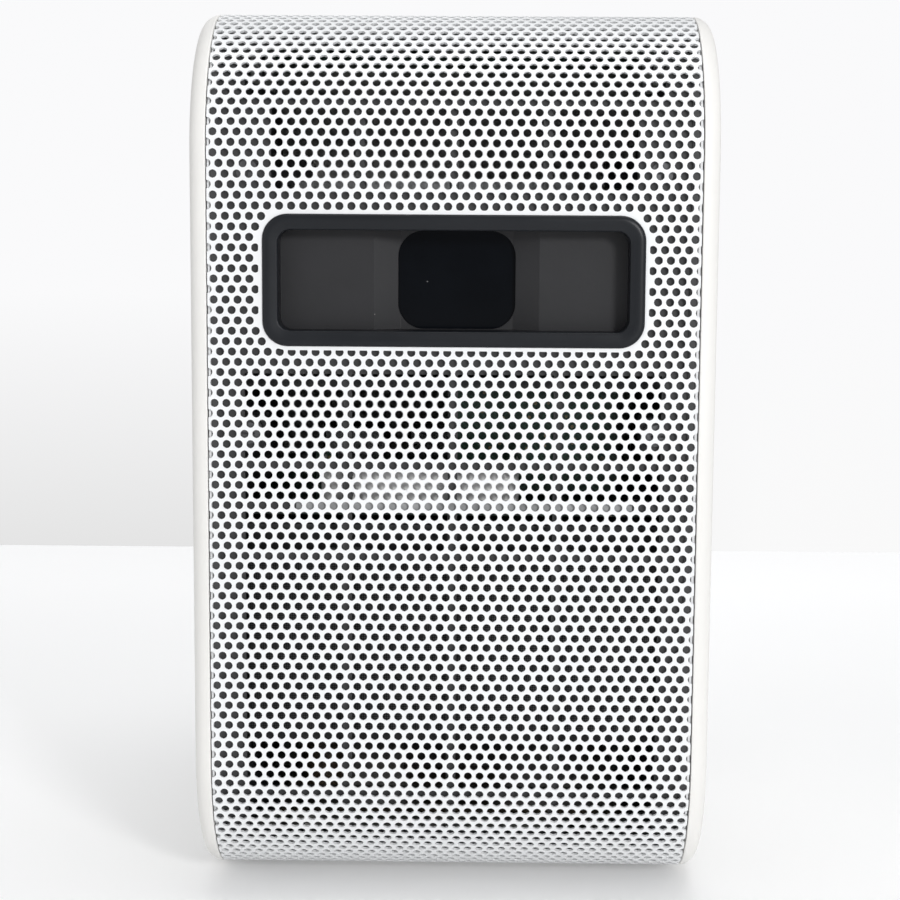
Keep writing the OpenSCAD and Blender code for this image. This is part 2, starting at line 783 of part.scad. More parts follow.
module left_fan_frame() color("#1c1d1f") fan_frame(-fan_x);
module right_fan_frame() color("#1c1d1f") fan_frame(fan_x);
module left_fan_rotor() color("#2a2c2f") fan_rotor(-fan_x);
module right_fan_rotor() color("#2a2c2f") fan_rotor(fan_x);

// ---------- light engine ----------

module engine_housing() color("#3a3d41") {
    y0 = engine_y;
    y1 = engine_y + engine_d;
    top = engine_floor + engine_h - engine_lid_t;
    w = engine_wall;
    difference() {
        block([engine_left, y0, engine_floor], [engine_right, y1, top]);
        block([engine_left + w, y0 + w, optic_floor], [engine_right - w, y1 - w, top + 1]);
        rod_y(0, lens_z, y0 - 1, y0 + w + 1, bore_r);
        rod_y(led_x, lens_z, y0 - 1, y0 + w + 1, led_r);
        rod_y(led_x, lens_z, y1 - w - 1, y1 + 1, led_r);
        rod_x(prism_y, lens_z, engine_right - w - 1, engine_right + 1, led_r);
    }
    block([pinion_x - motor_r - 1, y0, lens_z - 8], [engine_left + 0.1, y0 + w, lens_z + 8]);
    for (y = [y0 + 4, y1 - 7]) difference() {
        block([led_x - 6, y, optic_floor - 0.1], [led_x + 6, y + 3, lens_z]);
        rod_y(led_x, lens_z, y - 1, y + 4, led_r + 0.05);
    }
    difference() {
        block([engine_right - 6, prism_y - 6, optic_floor - 0.1], [engine_right - 3.5, prism_y + 6, lens_z]);
        rod_x(prism_y, lens_z, engine_right - 7, engine_right - 2, led_r + 0.05);
    }
}

module engine_lid() color("#44484d") {
    top = engine_floor + engine_h;
    block([engine_left, engine_y, top - engine_lid_t], [engine_right, engine_y + engine_d, top]);
}

// A lamp board with its emitter, facing +Y from the plane at the origin.
module led_module() {
    block([-led_side / 2, -board_t, -led_side / 2], [led_side / 2, 0, led_side / 2]);
    block([-2.2, -0.1, -2.2], [2.2, 0.8, 2.2]);
}

module red_led_module() color("firebrick") translate([led_x, engine_y, lens_z]) led_module();
module blue_led_module() color("royalblue")
    translate([led_x, engine_y + engine_d, lens_z]) rotate([0, 0, 180]) led_module();
module green_led_module() color("seagreen")
    translate([engine_right, prism_y, lens_z]) rotate([0, 0, 90]) led_module();

// A lens along Y about the origin: a disc with two equally round faces.
module biconvex(r, edge_t, ball_r) {
    steps = 6;
    face = [for (i = [0 : steps]) [
        r * i / steps,
        edge_t / 2 + sqrt(pow(ball_r, 2) - pow(r * i / steps, 2)) - sqrt(pow(ball_r, 2) - pow(r, 2))
    ]];
    back = [for (i = [steps : -1 : 0]) [face[i][0], -face[i][1]]];
    rotate([90, 0, 0]) rotate_extrude() polygon(concat(face, back));
}

module collimator_lenses() color("lightcyan") {
    for (y = [engine_y + 5.5, engine_y + engine_d - 5.5])
        translate([led_x, y, lens_z]) biconvex(led_r, 2, 20);
    translate([engine_right - 4.75, prism_y, lens_z]) rotate([0, 0, 90]) biconvex(led_r, 1.8, 20);
}

// One whole mirror and two halves that cross it, all standing on the engine's floor.
module dichroic_mirrors() color("#c8b8e8") {
    half_t = 0.45;
    translate([19.5, prism_y, 0]) for (leaf = [[45, -7, 7], [-45, 0.7, 7], [-45, -7, -0.7]])
        rotate(leaf[0]) block([leaf[1], -half_t, optic_floor], [leaf[2], half_t, lens_z + 7]);
}

// Two glass wedges with a thin air gap along the diagonal.
module prism() color("lightcyan") {
    h = prism_side / 2;
    gap = 0.1;
    for (turn = [0, 180])
        translate([0, prism_y, optic_floor]) rotate(turn) linear_extrude(lens_z + h - optic_floor)
            polygon([[-h, -h], [h - gap, -h], [-h, h - gap]]);
}

module image_chip_board() color("#1f5c3a") {
    y = prism_y + prism_side / 2 + 0.3;
    block([-9, y, lens_z - 6], [9, y + 1.6, lens_z + 6]);
    block([-11, y + 1.5, optic_floor], [11, y + 3.1, lens_z + 11]);
}

// ---------- lens and focus drive ----------

module lens_barrel() color("#17181a") difference() {
    union() {
        rod_y(0, lens_z, barrel_y, engine_y, barrel_r);
        rod_y(0, lens_z, engine_y - 2, engine_y, barrel_r + 2);
        rod_y(0, lens_z, ring_y + ring_w + 0.3, ring_y + ring_w + 1.8, barrel_r + 1.6);
    }
    rod_y(0, lens_z, barrel_y - 1, engine_y + 1, bore_r);
    slot = focus_travel + pin_r + 0.3;
    block([-pin_r - 0.15, pin_y - slot, lens_z], [pin_r + 0.15, pin_y + slot, lens_z + barrel_r + 1]);
}

// The sliding tube that holds the front lens, with the pin that rides in the focus ring's cam.
module lens_carrier() color("#26282b") {
    inner_r = carrier_r - carrier_wall;
    difference() {
        rod_y(0, lens_z, carrier_y, carrier_y + carrier_l, carrier_r);
        rod_y(0, lens_z, carrier_y - 1, carrier_y + carrier_l + 1, inner_r);
    }
    rod_z(0, pin_y, lens_z + inner_r + 0.5, lens_z + ring_bore_r + 2, pin_r);
}

module front_lens() color("#6f7f96") {
    translate([0, carrier_y + 4, lens_z]) biconvex(carrier_r - carrier_wall, 2.4, 26);
}

// Outline of a spur gear about the origin, with straight-flanked teeth and running backlash.
module gear_outline(teeth) {
    pitch_r = gear_module * teeth / 2;
    tip = pitch_r + 0.8 * gear_module;
    root = pitch_r - 1.25 * gear_module;
    step = 360 / teeth;
    polygon([for (i = [0 : teeth - 1], corner = [[root, -0.24], [tip, -0.1], [tip, 0.1], [root, 0.24]])
        [corner[0] * cos(step * (i + corner[1])), corner[0] * sin(step * (i + corner[1]))]]);
}

module focus_ring() color("#303338") difference() {
    translate([0, ring_y + ring_w, lens_z]) rotate([90, 0, 0])
        linear_extrude(ring_w) gear_outline(ring_teeth);
    rod_y(0, lens_z, ring_y - 1, ring_y + ring_w + 1, ring_bore_r);
    steps = 12;
    for (i = [0 : steps]) {
        turn = (focus_turn + 3) * (2 * i / steps - 1);
        translate([0, pin_y - focus_travel * turn / focus_turn, lens_z]) rotate([0, turn, 0])
            cylinder(h = ring_bore_r + 2.4, r = pin_r + 0.4);
    }
}

module focus_pinion() color("goldenrod") {
    translate([pinion_x, ring_y + ring_w, lens_z]) rotate([90, 180 / pinion_teeth, 0])
        linear_extrude(ring_w) gear_outline(pinion_teeth);
    rod_y(pinion_x, lens_z, ring_y - 1, motor_y + 9, shaft_r);
}

module focus_motor() color("silver") difference() {
    rod_y(pinion_x, lens_z, motor_y, engine_y, motor_r);
    rod_y(pinion_x, lens_z, motor_y - 1, motor_y + 10, shaft_r + run_gap);
}

// ---------- sound ----------

module speaker_box() color("#232527") difference() {
    low = speaker_box_top - speaker_box_h;
    y1 = speaker_box_y + speaker_box_d;
    block([-speaker_box_x, speaker_box_y, low], [speaker_box_x, y1, speaker_box_top]);
    block([-speaker_box_x + 2, speaker_box_y + 2, low + 2], [speaker_box_x - 2, y1 - 2, speaker_box_top - 2]);
    for (s = [-1, 1])
        rod_y(s * speaker_x, speaker_z, speaker_box_y - 1, speaker_box_y + 3, basket_r + 0.2);
}

// Flange, basket and magnet of a loudspeaker, turned about its axis.
module speaker_frame(x) {
    back = speaker_box_y + 8;
    difference() {
        union() {
            rod_y(x, speaker_z, speaker_box_y - 1.5, speaker_box_y, speaker_r);
            rod_y(x, speaker_z, speaker_box_y - 0.1, back, basket_r);
            rod_y(x, speaker_z, back - 0.1, back + 9, basket_r - 6);
        }
        rod_y(x, speaker_z, speaker_box_y - 2, back - 1, cone_r + 0.5);
        difference() {
            rod_y(x, speaker_z, back - 2, back + 6, coil_r + 0.5);
            rod_y(x, speaker_z, back - 3, back + 7, coil_r - 0.8);
        }
        rod_y(x, speaker_z, back - 2, back - 0.5, coil_r);
    }
}

// Cone, dust cap and voice coil, all one turned shell.
module speaker_cone(x) {
    y0 = speaker_box_y - 0.4;
    throat = 5;
    translate([x, y0, speaker_z]) rotate([-90, 0, 0]) rotate_extrude() polygon([
        [0, throat - 2.6],
        [coil_r - 0.5, throat - 0.6],
        [cone_r, 0],
        [cone_r, 0.7],
        [coil_r, throat + 0.2],
        [coil_r, throat + 6],
        [coil_r - 0.4, throat + 6],
        [coil_r - 0.4, throat + 0.1],
        [0, throat - 1.9]
    ]);
}

module left_speaker_frame() color("#3a3a3c") speaker_frame(-speaker_x);
module right_speaker_frame() color("#3a3a3c") speaker_frame(speaker_x);
module left_speaker_cone() color("#1a1a1c") speaker_cone(-speaker_x);
module right_speaker_cone() color("#1a1a1c") speaker_cone(speaker_x);

// ---------- fasteners ----------

// Screws that close the case: four from behind and four from below.
module case_screws() color("silver") {
    for (s = [-1, 1], z = [rear_screw_low_z, rear_screw_high_z])
        translate([s * screw_x, rear_y - 5.5 + head_t, z]) rotate([90, 0, 0])
            screw(screw_r, head_r, head_t, screw_l - 2.5);
    for (s = [-1, 1], t = [-1, 1])
        translate([s * screw_x, t * base_screw_y, foot_h + 4.5 - head_t])
            screw(screw_r, head_r, head_t, screw_l - 2.5);
}

// Small screws that hold the ribbed frame and the main board.
module inner_screws() color("silver") {
    for (s = [-1, 1], z = [frame_screw_low_z, frame_screw_high_z])
        translate([s * frame_screw_x, front_y + frame_in, z]) rotate([-90, 0, 0])
            screw(small_screw_r, small_head_r, small_head_t, small_screw_l);
    for (s = [-1, 1], t = [-1, 1])
        translate([s * (board_x - 4), t * board_screw_y, board_top + small_head_t]) rotate([180, 0, 0])
            screw(small_screw_r, small_head_r, small_head_t, board_t + board_post - 0.2);
}

front_grille();
grille_frame();
speaker_cloth();
window_bezel();
window_tray();
lens_window();
left_side_panel();
right_side_panel();
top_cover();
base_cover();
rear_cover();
rubber_feet();
tripod_insert();
power_button();
volume_up_button();
volume_down_button();
menu_button();
status_light_pipe();
key_board();
left_chassis_plate();
right_chassis_plate();
board_tray();
engine_shelf();
main_board();
hdmi_socket();
usb_socket();
audio_jack();
dc_inlet();
flat_cable();
driver_board();
power_board();
power_transformer();
heat_sink();
heat_pipe();
left_fan_frame();
right_fan_frame();
left_fan_rotor();
right_fan_rotor();
engine_housing();
engine_lid();
red_led_module();
green_led_module();
blue_led_module();
collimator_lenses();
dichroic_mirrors();
prism();
image_chip_board();
lens_barrel();
lens_carrier();
front_lens();
focus_ring();
focus_pinion();
focus_motor();
speaker_box();
left_speaker_frame();
right_speaker_frame();
left_speaker_cone();
right_speaker_cone();
case_screws();
inner_screws();
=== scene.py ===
import math

import bmesh
import bpy
import numpy as np
from mathutils import Matrix, Vector


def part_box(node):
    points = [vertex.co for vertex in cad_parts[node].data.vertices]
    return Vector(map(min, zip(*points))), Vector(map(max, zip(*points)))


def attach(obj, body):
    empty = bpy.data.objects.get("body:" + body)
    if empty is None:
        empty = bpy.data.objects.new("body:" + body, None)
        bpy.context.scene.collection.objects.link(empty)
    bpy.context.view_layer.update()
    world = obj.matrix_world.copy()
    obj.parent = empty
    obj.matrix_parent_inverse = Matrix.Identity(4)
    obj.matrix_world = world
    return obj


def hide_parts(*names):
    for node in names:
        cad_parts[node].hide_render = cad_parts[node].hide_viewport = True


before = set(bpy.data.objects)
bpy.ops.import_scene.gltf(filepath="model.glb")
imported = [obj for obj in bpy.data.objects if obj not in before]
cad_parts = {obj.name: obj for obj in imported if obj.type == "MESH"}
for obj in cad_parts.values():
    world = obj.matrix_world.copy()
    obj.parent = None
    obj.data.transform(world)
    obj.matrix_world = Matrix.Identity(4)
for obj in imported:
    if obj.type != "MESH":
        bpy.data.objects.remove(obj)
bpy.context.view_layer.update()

# An upright home projector: perforated steel front, domed side panels, covers with keys and
# louvres, and the optics, fans, boards and speakers inside. Lengths are worked in millimetres
# and turned into metres when a mesh is made.

MM = 0.001


def box_mm(node):
    """The lowest and highest corner of a CAD node in millimetres."""
    low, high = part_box(node)
    return np.array(low) / MM, np.array(high) / MM


# The body: its front plane, its underside and top, the sheet's half width, and the corners of the
# side outline, whose arcs begin and end on the flat front at ARC_LOW_Z and ARC_HIGH_Z.
sheet_low, sheet_high = box_mm("front_grille")
FRONT_Y = sheet_low[1]
FOOT_H = sheet_low[2]
TOP_Z = sheet_high[2]
SHEET_X = sheet_high[0]
CORNER_R = 31.0
ARC_Y = FRONT_Y + CORNER_R
ARC_LOW_Z = FOOT_H + CORNER_R
ARC_HIGH_Z = TOP_Z - CORNER_R

# The lowest and highest place along the outline that the sheet may reach, as arc length.
QUARTER = CORNER_R * math.pi / 2
LOW_END = ARC_LOW_Z - FOOT_H - QUARTER
HIGH_END = ARC_HIGH_Z - FOOT_H + QUARTER

# Seam between the sheet and a side panel, and the wall of the moulded covers.
SEAM = 0.25
WALL = 2.2


# ---------- meshes ----------

def put_mesh(name, points, faces, material, body="case", sharp=35.0, replaces=()):
    """A closed piece from points in millimetres and lists of corners, normals outward."""
    mesh = bpy.data.meshes.new(name)
    mesh.from_pydata((np.asarray(points, float) * MM).tolist(), [], faces)
    solid = bmesh.new()
    solid.from_mesh(mesh)
    bmesh.ops.remove_doubles(solid, verts=solid.verts, dist=0.002 * MM)
    bmesh.ops.dissolve_degenerate(solid, edges=solid.edges, dist=0.001 * MM)
    bmesh.ops.recalc_face_normals(solid, faces=solid.faces)
    solid.to_mesh(mesh)
    solid.free()
    return dress(name, mesh, material, body, sharp, replaces)


def dress(name, mesh, material, body, sharp, replaces):
    """Puts a finished mesh into the scene with its material, body and slot."""
    mesh.materials.clear()
    mesh.materials.append(material)
    mesh.shade_smooth()
    mesh.set_sharp_from_angle(angle=math.radians(sharp))
    piece = bpy.data.objects.new(name, mesh)
    bpy.context.scene.collection.objects.link(piece)
    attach(piece, body)
    if replaces:
        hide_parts(*replaces)
    return piece


def grid_faces(rows, columns, closed_rows=False, closed_columns=False):
    """The four-cornered faces of a grid of points stored row after row."""
    row = np.arange(rows if closed_rows else rows - 1)
    column = np.arange(columns if closed_columns else columns - 1)
    r, c = np.meshgrid(row, column, indexing="ij")
    r_next, c_next = (r + 1) % rows, (c + 1) % columns
    corners = [r * columns + c, r * columns + c_next, r_next * columns + c_next, r_next * columns + c]
    return np.stack(corners, -1).reshape(-1, 4).tolist()


def strip_faces(count):
    """The faces of a four-sided strip of count sections, with both ends closed."""
    faces = grid_faces(4, count, closed_rows=True)
    faces.append([k * count for k in range(4)])
    faces.append([k * count + count - 1 for k in range(4)])
    return faces


def on_circle(angle):
    """Points of the unit circle: (cos a, sin a) for each angle."""
    return np.stack([np.cos(angle), np.sin(angle)], -1)


def lathe(profile, centre, sides):
    """Carries (radius, height) points round the upright axis: x = r cos a, y = r sin a."""
    profile = np.asarray(profile, float)
    angle = np.arange(sides) * 2 * math.pi / sides
    r, h = profile[:, 0][:, None], profile[:, 1][:, None]
    ring = np.stack([r * np.cos(angle), r * np.sin(angle), h + 0 * angle], -1).reshape(-1, 3)
    return ring + np.asarray(centre, float), grid_faces(len(profile), sides, False, True)


def rounded_loop(width, height, radius, per_corner):
    """Points round a rounded rectangle: corner centre plus r (cos a, sin a)."""
    quarter = np.linspace(0, math.pi / 2, per_corner)
    angle = np.concatenate([quarter + k * math.pi / 2 for k in range(4)])
    sign = np.repeat([[1, 1], [-1, 1], [-1, -1], [1, -1]], per_corner, axis=0)
    centre = sign * np.array([width / 2 - radius, height / 2 - radius])
    return centre + radius * on_circle(angle)


def wrap_outline(x, s, depth):
    """Lays a flat point (x, s) at a depth under the skin onto the side outline.

    s is the height over the body's underside on the flat front, and runs on as arc length round
    the top and bottom corners: there the angle is (s past the flat) / corner radius.
    """
    high, low = ARC_HIGH_Z - FOOT_H, ARC_LOW_Z - FOOT_H
    turn = np.maximum(s - high, 0) / CORNER_R - np.maximum(low - s, 0) / CORNER_R
    level = np.clip(s, low, high) + FOOT_H
    reach = CORNER_R - depth
    return np.stack([x, ARC_Y - reach * np.cos(turn), level + reach * np.sin(turn)], -1)


def softened(node, name, width, slot, crease=35.0):
    """A merged copy of a CAD node whose edges over a crease angle are rounded by a bevel."""
    straight, no_sharp_edges = 0.5, 180.0
    solid = bmesh.new()
    solid.from_mesh(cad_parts[node].data)
    bmesh.ops.remove_doubles(solid, verts=solid.verts, dist=0.001 * MM)
    bmesh.ops.dissolve_limit(
        solid, angle_limit=math.radians(straight), verts=solid.verts, edges=solid.edges
    )
    mesh = bpy.data.meshes.new(name)
    solid.to_mesh(mesh)
    solid.free()
    piece = dress(name, mesh, finishes[slot], "case", no_sharp_edges, [node])
    bevel = piece.modifiers.new("soft edges", "BEVEL")
    bevel.width = width * MM
    bevel.segments = 2
    bevel.limit_method = "ANGLE"
    bevel.angle_limit = math.radians(crease)
    level = piece.modifiers.new("flat faces stay flat", "WEIGHTED_NORMAL")
    level.weight = 90
    return piece


# ---------- shared effects ----------

def new_group(name, inputs, outputs):
    """An empty shader node group with named sockets, and its two ends."""
    group = bpy.data.node_groups.new(name, "ShaderNodeTree")
    for label, kind, value in inputs:
        socket = group.interface.new_socket(name=label, in_out="INPUT", socket_type=kind)
        if value is not None:
            socket.default_value = value
    for label, kind in outputs:
        group.interface.new_socket(name=label, in_out="OUTPUT", socket_type=kind)
    return group, group.nodes.new("NodeGroupInput"), group.nodes.new("NodeGroupOutput")


def math_node(tree, operation, a, b=None, clamp=False):
    """A Math node fed by sockets or plain numbers; gives its output socket."""
    node = tree.nodes.new("ShaderNodeMath")
    node.operation = operation
    node.use_clamp = clamp
    for socket, value in zip(node.inputs, [a, b]):
        if value is None:
            continue
        if isinstance(value, (int, float)):
            socket.default_value = value
        else:
            tree.links.new(value, socket)
    return node.outputs[0]


def remap(tree, value, low, high, to_low, to_high):
    """A clamped straight-line change of range."""
    node = tree.nodes.new("ShaderNodeMapRange")
    tree.links.new(value, node.inputs["Value"])
    labels = ["From Min", "From Max", "To Min", "To Max"]
    for label, number in zip(labels, [low, high, to_low, to_high]):
        node.inputs[label].default_value = number
    return node.outputs["Result"]


def noise(tree, vector, scale, detail=3.0, roughness=0.55):
    """A noise texture's value; scale is a number or a socket."""
    node = tree.nodes.new("ShaderNodeTexNoise")
    tree.links.new(vector, node.inputs["Vector"])
    if isinstance(scale, (int, float)):
        node.inputs["Scale"].default_value = scale
    else:
        tree.links.new(scale, node.inputs["Scale"])
    node.inputs["Detail"].default_value = detail
    node.inputs["Roughness"].default_value = roughness
    return node.outputs["Fac"]


def build_grain_group():
    """Fine grain as a height, and broad soft patches as a mask, both 0 to 1."""
    group, start, end = new_group(
        "surface_grain",
        [("Vector", "NodeSocketVector", None), ("Grain", "NodeSocketFloat", 2500.0),
         ("Patches", "NodeSocketFloat", 30.0)],
        [("Height", "NodeSocketFloat"), ("Patches", "NodeSocketFloat")],
    )
    fine = noise(group, start.outputs["Vector"], start.outputs["Grain"], 2.0)
    broad = noise(group, start.outputs["Vector"], start.outputs["Patches"], 4.0)
    group.links.new(fine, end.inputs["Height"])
    group.links.new(remap(group, broad, 0.3, 0.7, 0.0, 1.0), end.inputs["Patches"])
    return group


def build_speck_group():
    """Scattered round specks of dust: near the centre of a cell, where the cell's draw is high."""
    group, start, end = new_group(
        "dust_specks",
        [("Vector", "NodeSocketVector", None), ("Scale", "NodeSocketFloat", 300.0),
         ("Share", "NodeSocketFloat", 0.1), ("Size", "NodeSocketFloat", 0.12)],
        [("Mask", "NodeSocketFloat")],
    )
    cells = group.nodes.new("ShaderNodeTexVoronoi")
    group.links.new(start.outputs["Vector"], cells.inputs["Vector"])
    group.links.new(start.outputs["Scale"], cells.inputs["Scale"])
    near = math_node(group, "LESS_THAN", cells.outputs["Distance"], start.outputs["Size"])
    split = group.nodes.new("ShaderNodeSeparateColor")
    group.links.new(cells.outputs["Color"], split.inputs[0])
    drawn = math_node(group, "LESS_THAN", split.outputs[0], start.outputs["Share"])
    fade = noise(group, start.outputs["Vector"], start.outputs["Scale"], 1.0)
    mask = math_node(group, "MULTIPLY", math_node(group, "MULTIPLY", near, drawn), fade)
    group.links.new(mask, end.inputs["Mask"])
    return group


def build_weave_group():
    """A plain weave: warp and weft threads as sines that pass over each other in turn."""
    group, start, end = new_group(
        "plain_weave",
        [("Vector", "NodeSocketVector", None), ("Threads", "NodeSocketFloat", 2500.0)],
        [("Height", "NodeSocketFloat"), ("Gaps", "NodeSocketFloat")],
    )
    split = group.nodes.new("ShaderNodeSeparateXYZ")
    group.links.new(start.outputs["Vector"], split.inputs[0])
    warp_turn = math_node(group, "MULTIPLY", split.outputs[0], start.outputs["Threads"])
    weft_turn = math_node(group, "MULTIPLY", split.outputs[2], start.outputs["Threads"])
    warp = math_node(group, "ABSOLUTE", math_node(group, "SINE", warp_turn))
    weft = math_node(group, "ABSOLUTE", math_node(group, "SINE", weft_turn))
    height = math_node(group, "MAXIMUM", warp, weft)
    gaps = math_node(group, "MULTIPLY", warp, weft)
    group.links.new(height, end.inputs["Height"])
    group.links.new(gaps, end.inputs["Gaps"])
    return group


grain_group = build_grain_group()
speck_group = build_speck_group()
weave_group = build_weave_group()


def mixed(tree, mask, first, second):
    """A colour between two: each is an RGB triple or a colour socket."""
    node = tree.nodes.new("ShaderNodeMix")
    node.data_type = "RGBA"
    tree.links.new(mask, node.inputs["Factor"])
    for label, value in [("A", first), ("B", second)]:
        socket = [s for s in node.inputs if s.name == label and s.type == "RGBA"][0]
        if isinstance(value, (tuple, list)):
            socket.default_value = (*value[:3], 1.0)
        else:
            tree.links.new(value, socket)
    return [s for s in node.outputs if s.type == "RGBA"][0]


def placed(tree, group, vector, **values):
    """A group node fed with a vector and its own values."""
    node = tree.nodes.new("ShaderNodeGroup")
    node.node_tree = group
    tree.links.new(vector, node.inputs["Vector"])
    for label, value in values.items():
        node.inputs[label].default_value = value
    return node


def new_material(name):
    """A new material with its tree, its shader, and the place on the piece to draw from."""
    material = bpy.data.materials.new(name)
    material.use_nodes = True
    tree = material.node_tree
    where = tree.nodes.new("ShaderNodeTexCoord").outputs["Object"]
    return material, tree, tree.nodes["Principled BSDF"], where


def scaled(colour, share):
    """A colour made darker or lighter by one factor."""
    return tuple(channel * share for channel in colour)


def bumped(tree, height, depth, shader, strength=0.6):
    """Turns a height into the shader's normal; depth is in millimetres."""
    node = tree.nodes.new("ShaderNodeBump")
    node.inputs["Strength"].default_value = strength
    node.inputs["Distance"].default_value = depth * MM
    tree.links.new(height, node.inputs["Height"])
    tree.links.new(node.outputs["Normal"], shader.inputs["Normal"])


def finish(name, colour, roughness, grain=2500.0, depth=0.02, patches=30.0, mottle=0.05,
           metallic=0.0, dust=0.0, gloss=0.5):
    """A painted, moulded or metal finish with fine grain, soft patches and a little dust."""
    material, tree, shader, where = new_material(name)
    surface = placed(tree, grain_group, where, Grain=grain, Patches=patches)
    tint = mixed(tree, surface.outputs["Patches"], scaled(colour, 1 - mottle), colour)
    spread = 0.05
    rough = remap(tree, surface.outputs["Patches"], 0, 1, roughness - spread, roughness + spread)
    if dust:
        specks = placed(tree, speck_group, where, Scale=420.0, Share=dust, Size=0.07)
        tint = mixed(tree, specks.outputs["Mask"], tint, (0.35, 0.34, 0.32))
    tree.links.new(tint, shader.inputs["Base Color"])
    tree.links.new(rough, shader.inputs["Roughness"])
    shader.inputs["Metallic"].default_value = metallic
    shader.inputs["Specular IOR Level"].default_value = gloss
    bumped(tree, surface.outputs["Height"], depth, shader)
    return material


def cloth_finish(name, yarn, gap):
    """Acoustic cloth: a plain weave of matt yarn with darker gaps and a faint sheen."""
    material, tree, shader, where = new_material(name)
    weave = placed(tree, weave_group, where, Threads=7000.0)
    surface = placed(tree, grain_group, where, Grain=5000.0, Patches=300.0)
    yarn_tint = mixed(tree, surface.outputs["Patches"], scaled(yarn, 0.6), yarn)
    tree.links.new(mixed(tree, weave.outputs["Gaps"], gap, yarn_tint), shader.inputs["Base Color"])
    rough = remap(tree, weave.outputs["Height"], 0, 1, 0.95, 0.8)
    tree.links.new(rough, shader.inputs["Roughness"])
    shader.inputs["Sheen Weight"].default_value = 0.2
    bumped(tree, weave.outputs["Height"], 0.06, shader)
    return material


def glass_finish(name, colour, roughness, transmission, dust, coat=0.5, gloss=0.5):
    """Polished glass with a soft bloom of patches and a few dust specks."""
    material, tree, shader, where = new_material(name)
    surface = placed(tree, grain_group, where, Grain=400.0, Patches=90.0)
    specks = placed(tree, speck_group, where, Scale=700.0, Share=dust, Size=0.11)
    tint = mixed(tree, surface.outputs["Patches"], scaled(colour, 0.7), colour)
    tint = mixed(tree, specks.outputs["Mask"], tint, (0.3, 0.3, 0.3))
    tree.links.new(tint, shader.inputs["Base Color"])
    rough = remap(tree, surface.outputs["Patches"], 0, 1, roughness, roughness + 0.04)
    speckled = math_node(tree, "ADD", rough, specks.outputs["Mask"], clamp=True)
    tree.links.new(speckled, shader.inputs["Roughness"])
    shader.inputs["Transmission Weight"].default_value = transmission
    shader.inputs["Coat Weight"].default_value = coat
    shader.inputs["Specular IOR Level"].default_value = gloss
    bumped(tree, surface.outputs["Height"], 0.002, shader, 0.2)
    return material


def board_finish(name, mask_colour, copper_colour):
    """A circuit board: solder mask over square-cornered copper runs, with plated dots."""
    material, tree, shader, where = new_material(name)
    runs = tree.nodes.new("ShaderNodeTexVoronoi")
    runs.distance = "MANHATTAN"
    runs.feature = "F1"
    runs.inputs["Scale"].default_value = 260.0
    tree.links.new(where, runs.inputs["Vector"])
    dots = placed(tree, speck_group, where, Scale=500.0, Share=0.5, Size=0.22)
    surface = placed(tree, grain_group, where, Grain=1800.0, Patches=60.0)
    lines = remap(tree, math_node(tree, "PINGPONG", runs.outputs["Distance"], 0.16), 0.03, 0.07, 1, 0)
    tint = mixed(tree, lines, mask_colour, scaled(mask_colour, 1.9))
    tint = mixed(tree, dots.outputs["Mask"], tint, copper_colour)
    tree.links.new(tint, shader.inputs["Base Color"])
    rough = remap(tree, surface.outputs["Patches"], 0, 1, 0.3, 0.42)
    tree.links.new(rough, shader.inputs["Roughness"])
    bumped(tree, lines, 0.03, shader)
    return material


def brushed_finish(name, colour, roughness, stretch):
    """Metal drawn or brushed one way: grain stretched along an axis, in colour and gloss."""
    material, tree, shader, where = new_material(name)
    spread = tree.nodes.new("ShaderNodeMapping")
    spread.inputs["Scale"].default_value = stretch
    tree.links.new(where, spread.inputs["Vector"])
    surface = placed(tree, grain_group, spread.outputs["Vector"], Grain=1500.0, Patches=120.0)
    tint = mixed(tree, surface.outputs["Patches"], scaled(colour, 0.85), colour)
    tree.links.new(tint, shader.inputs["Base Color"])
    rough = remap(tree, surface.outputs["Height"], 0.3, 0.7, roughness - 0.08, roughness + 0.1)
    tree.links.new(rough, shader.inputs["Roughness"])
    shader.inputs["Metallic"].default_value = 1.0
    bumped(tree, surface.outputs["Height"], 0.01, shader)
    return material


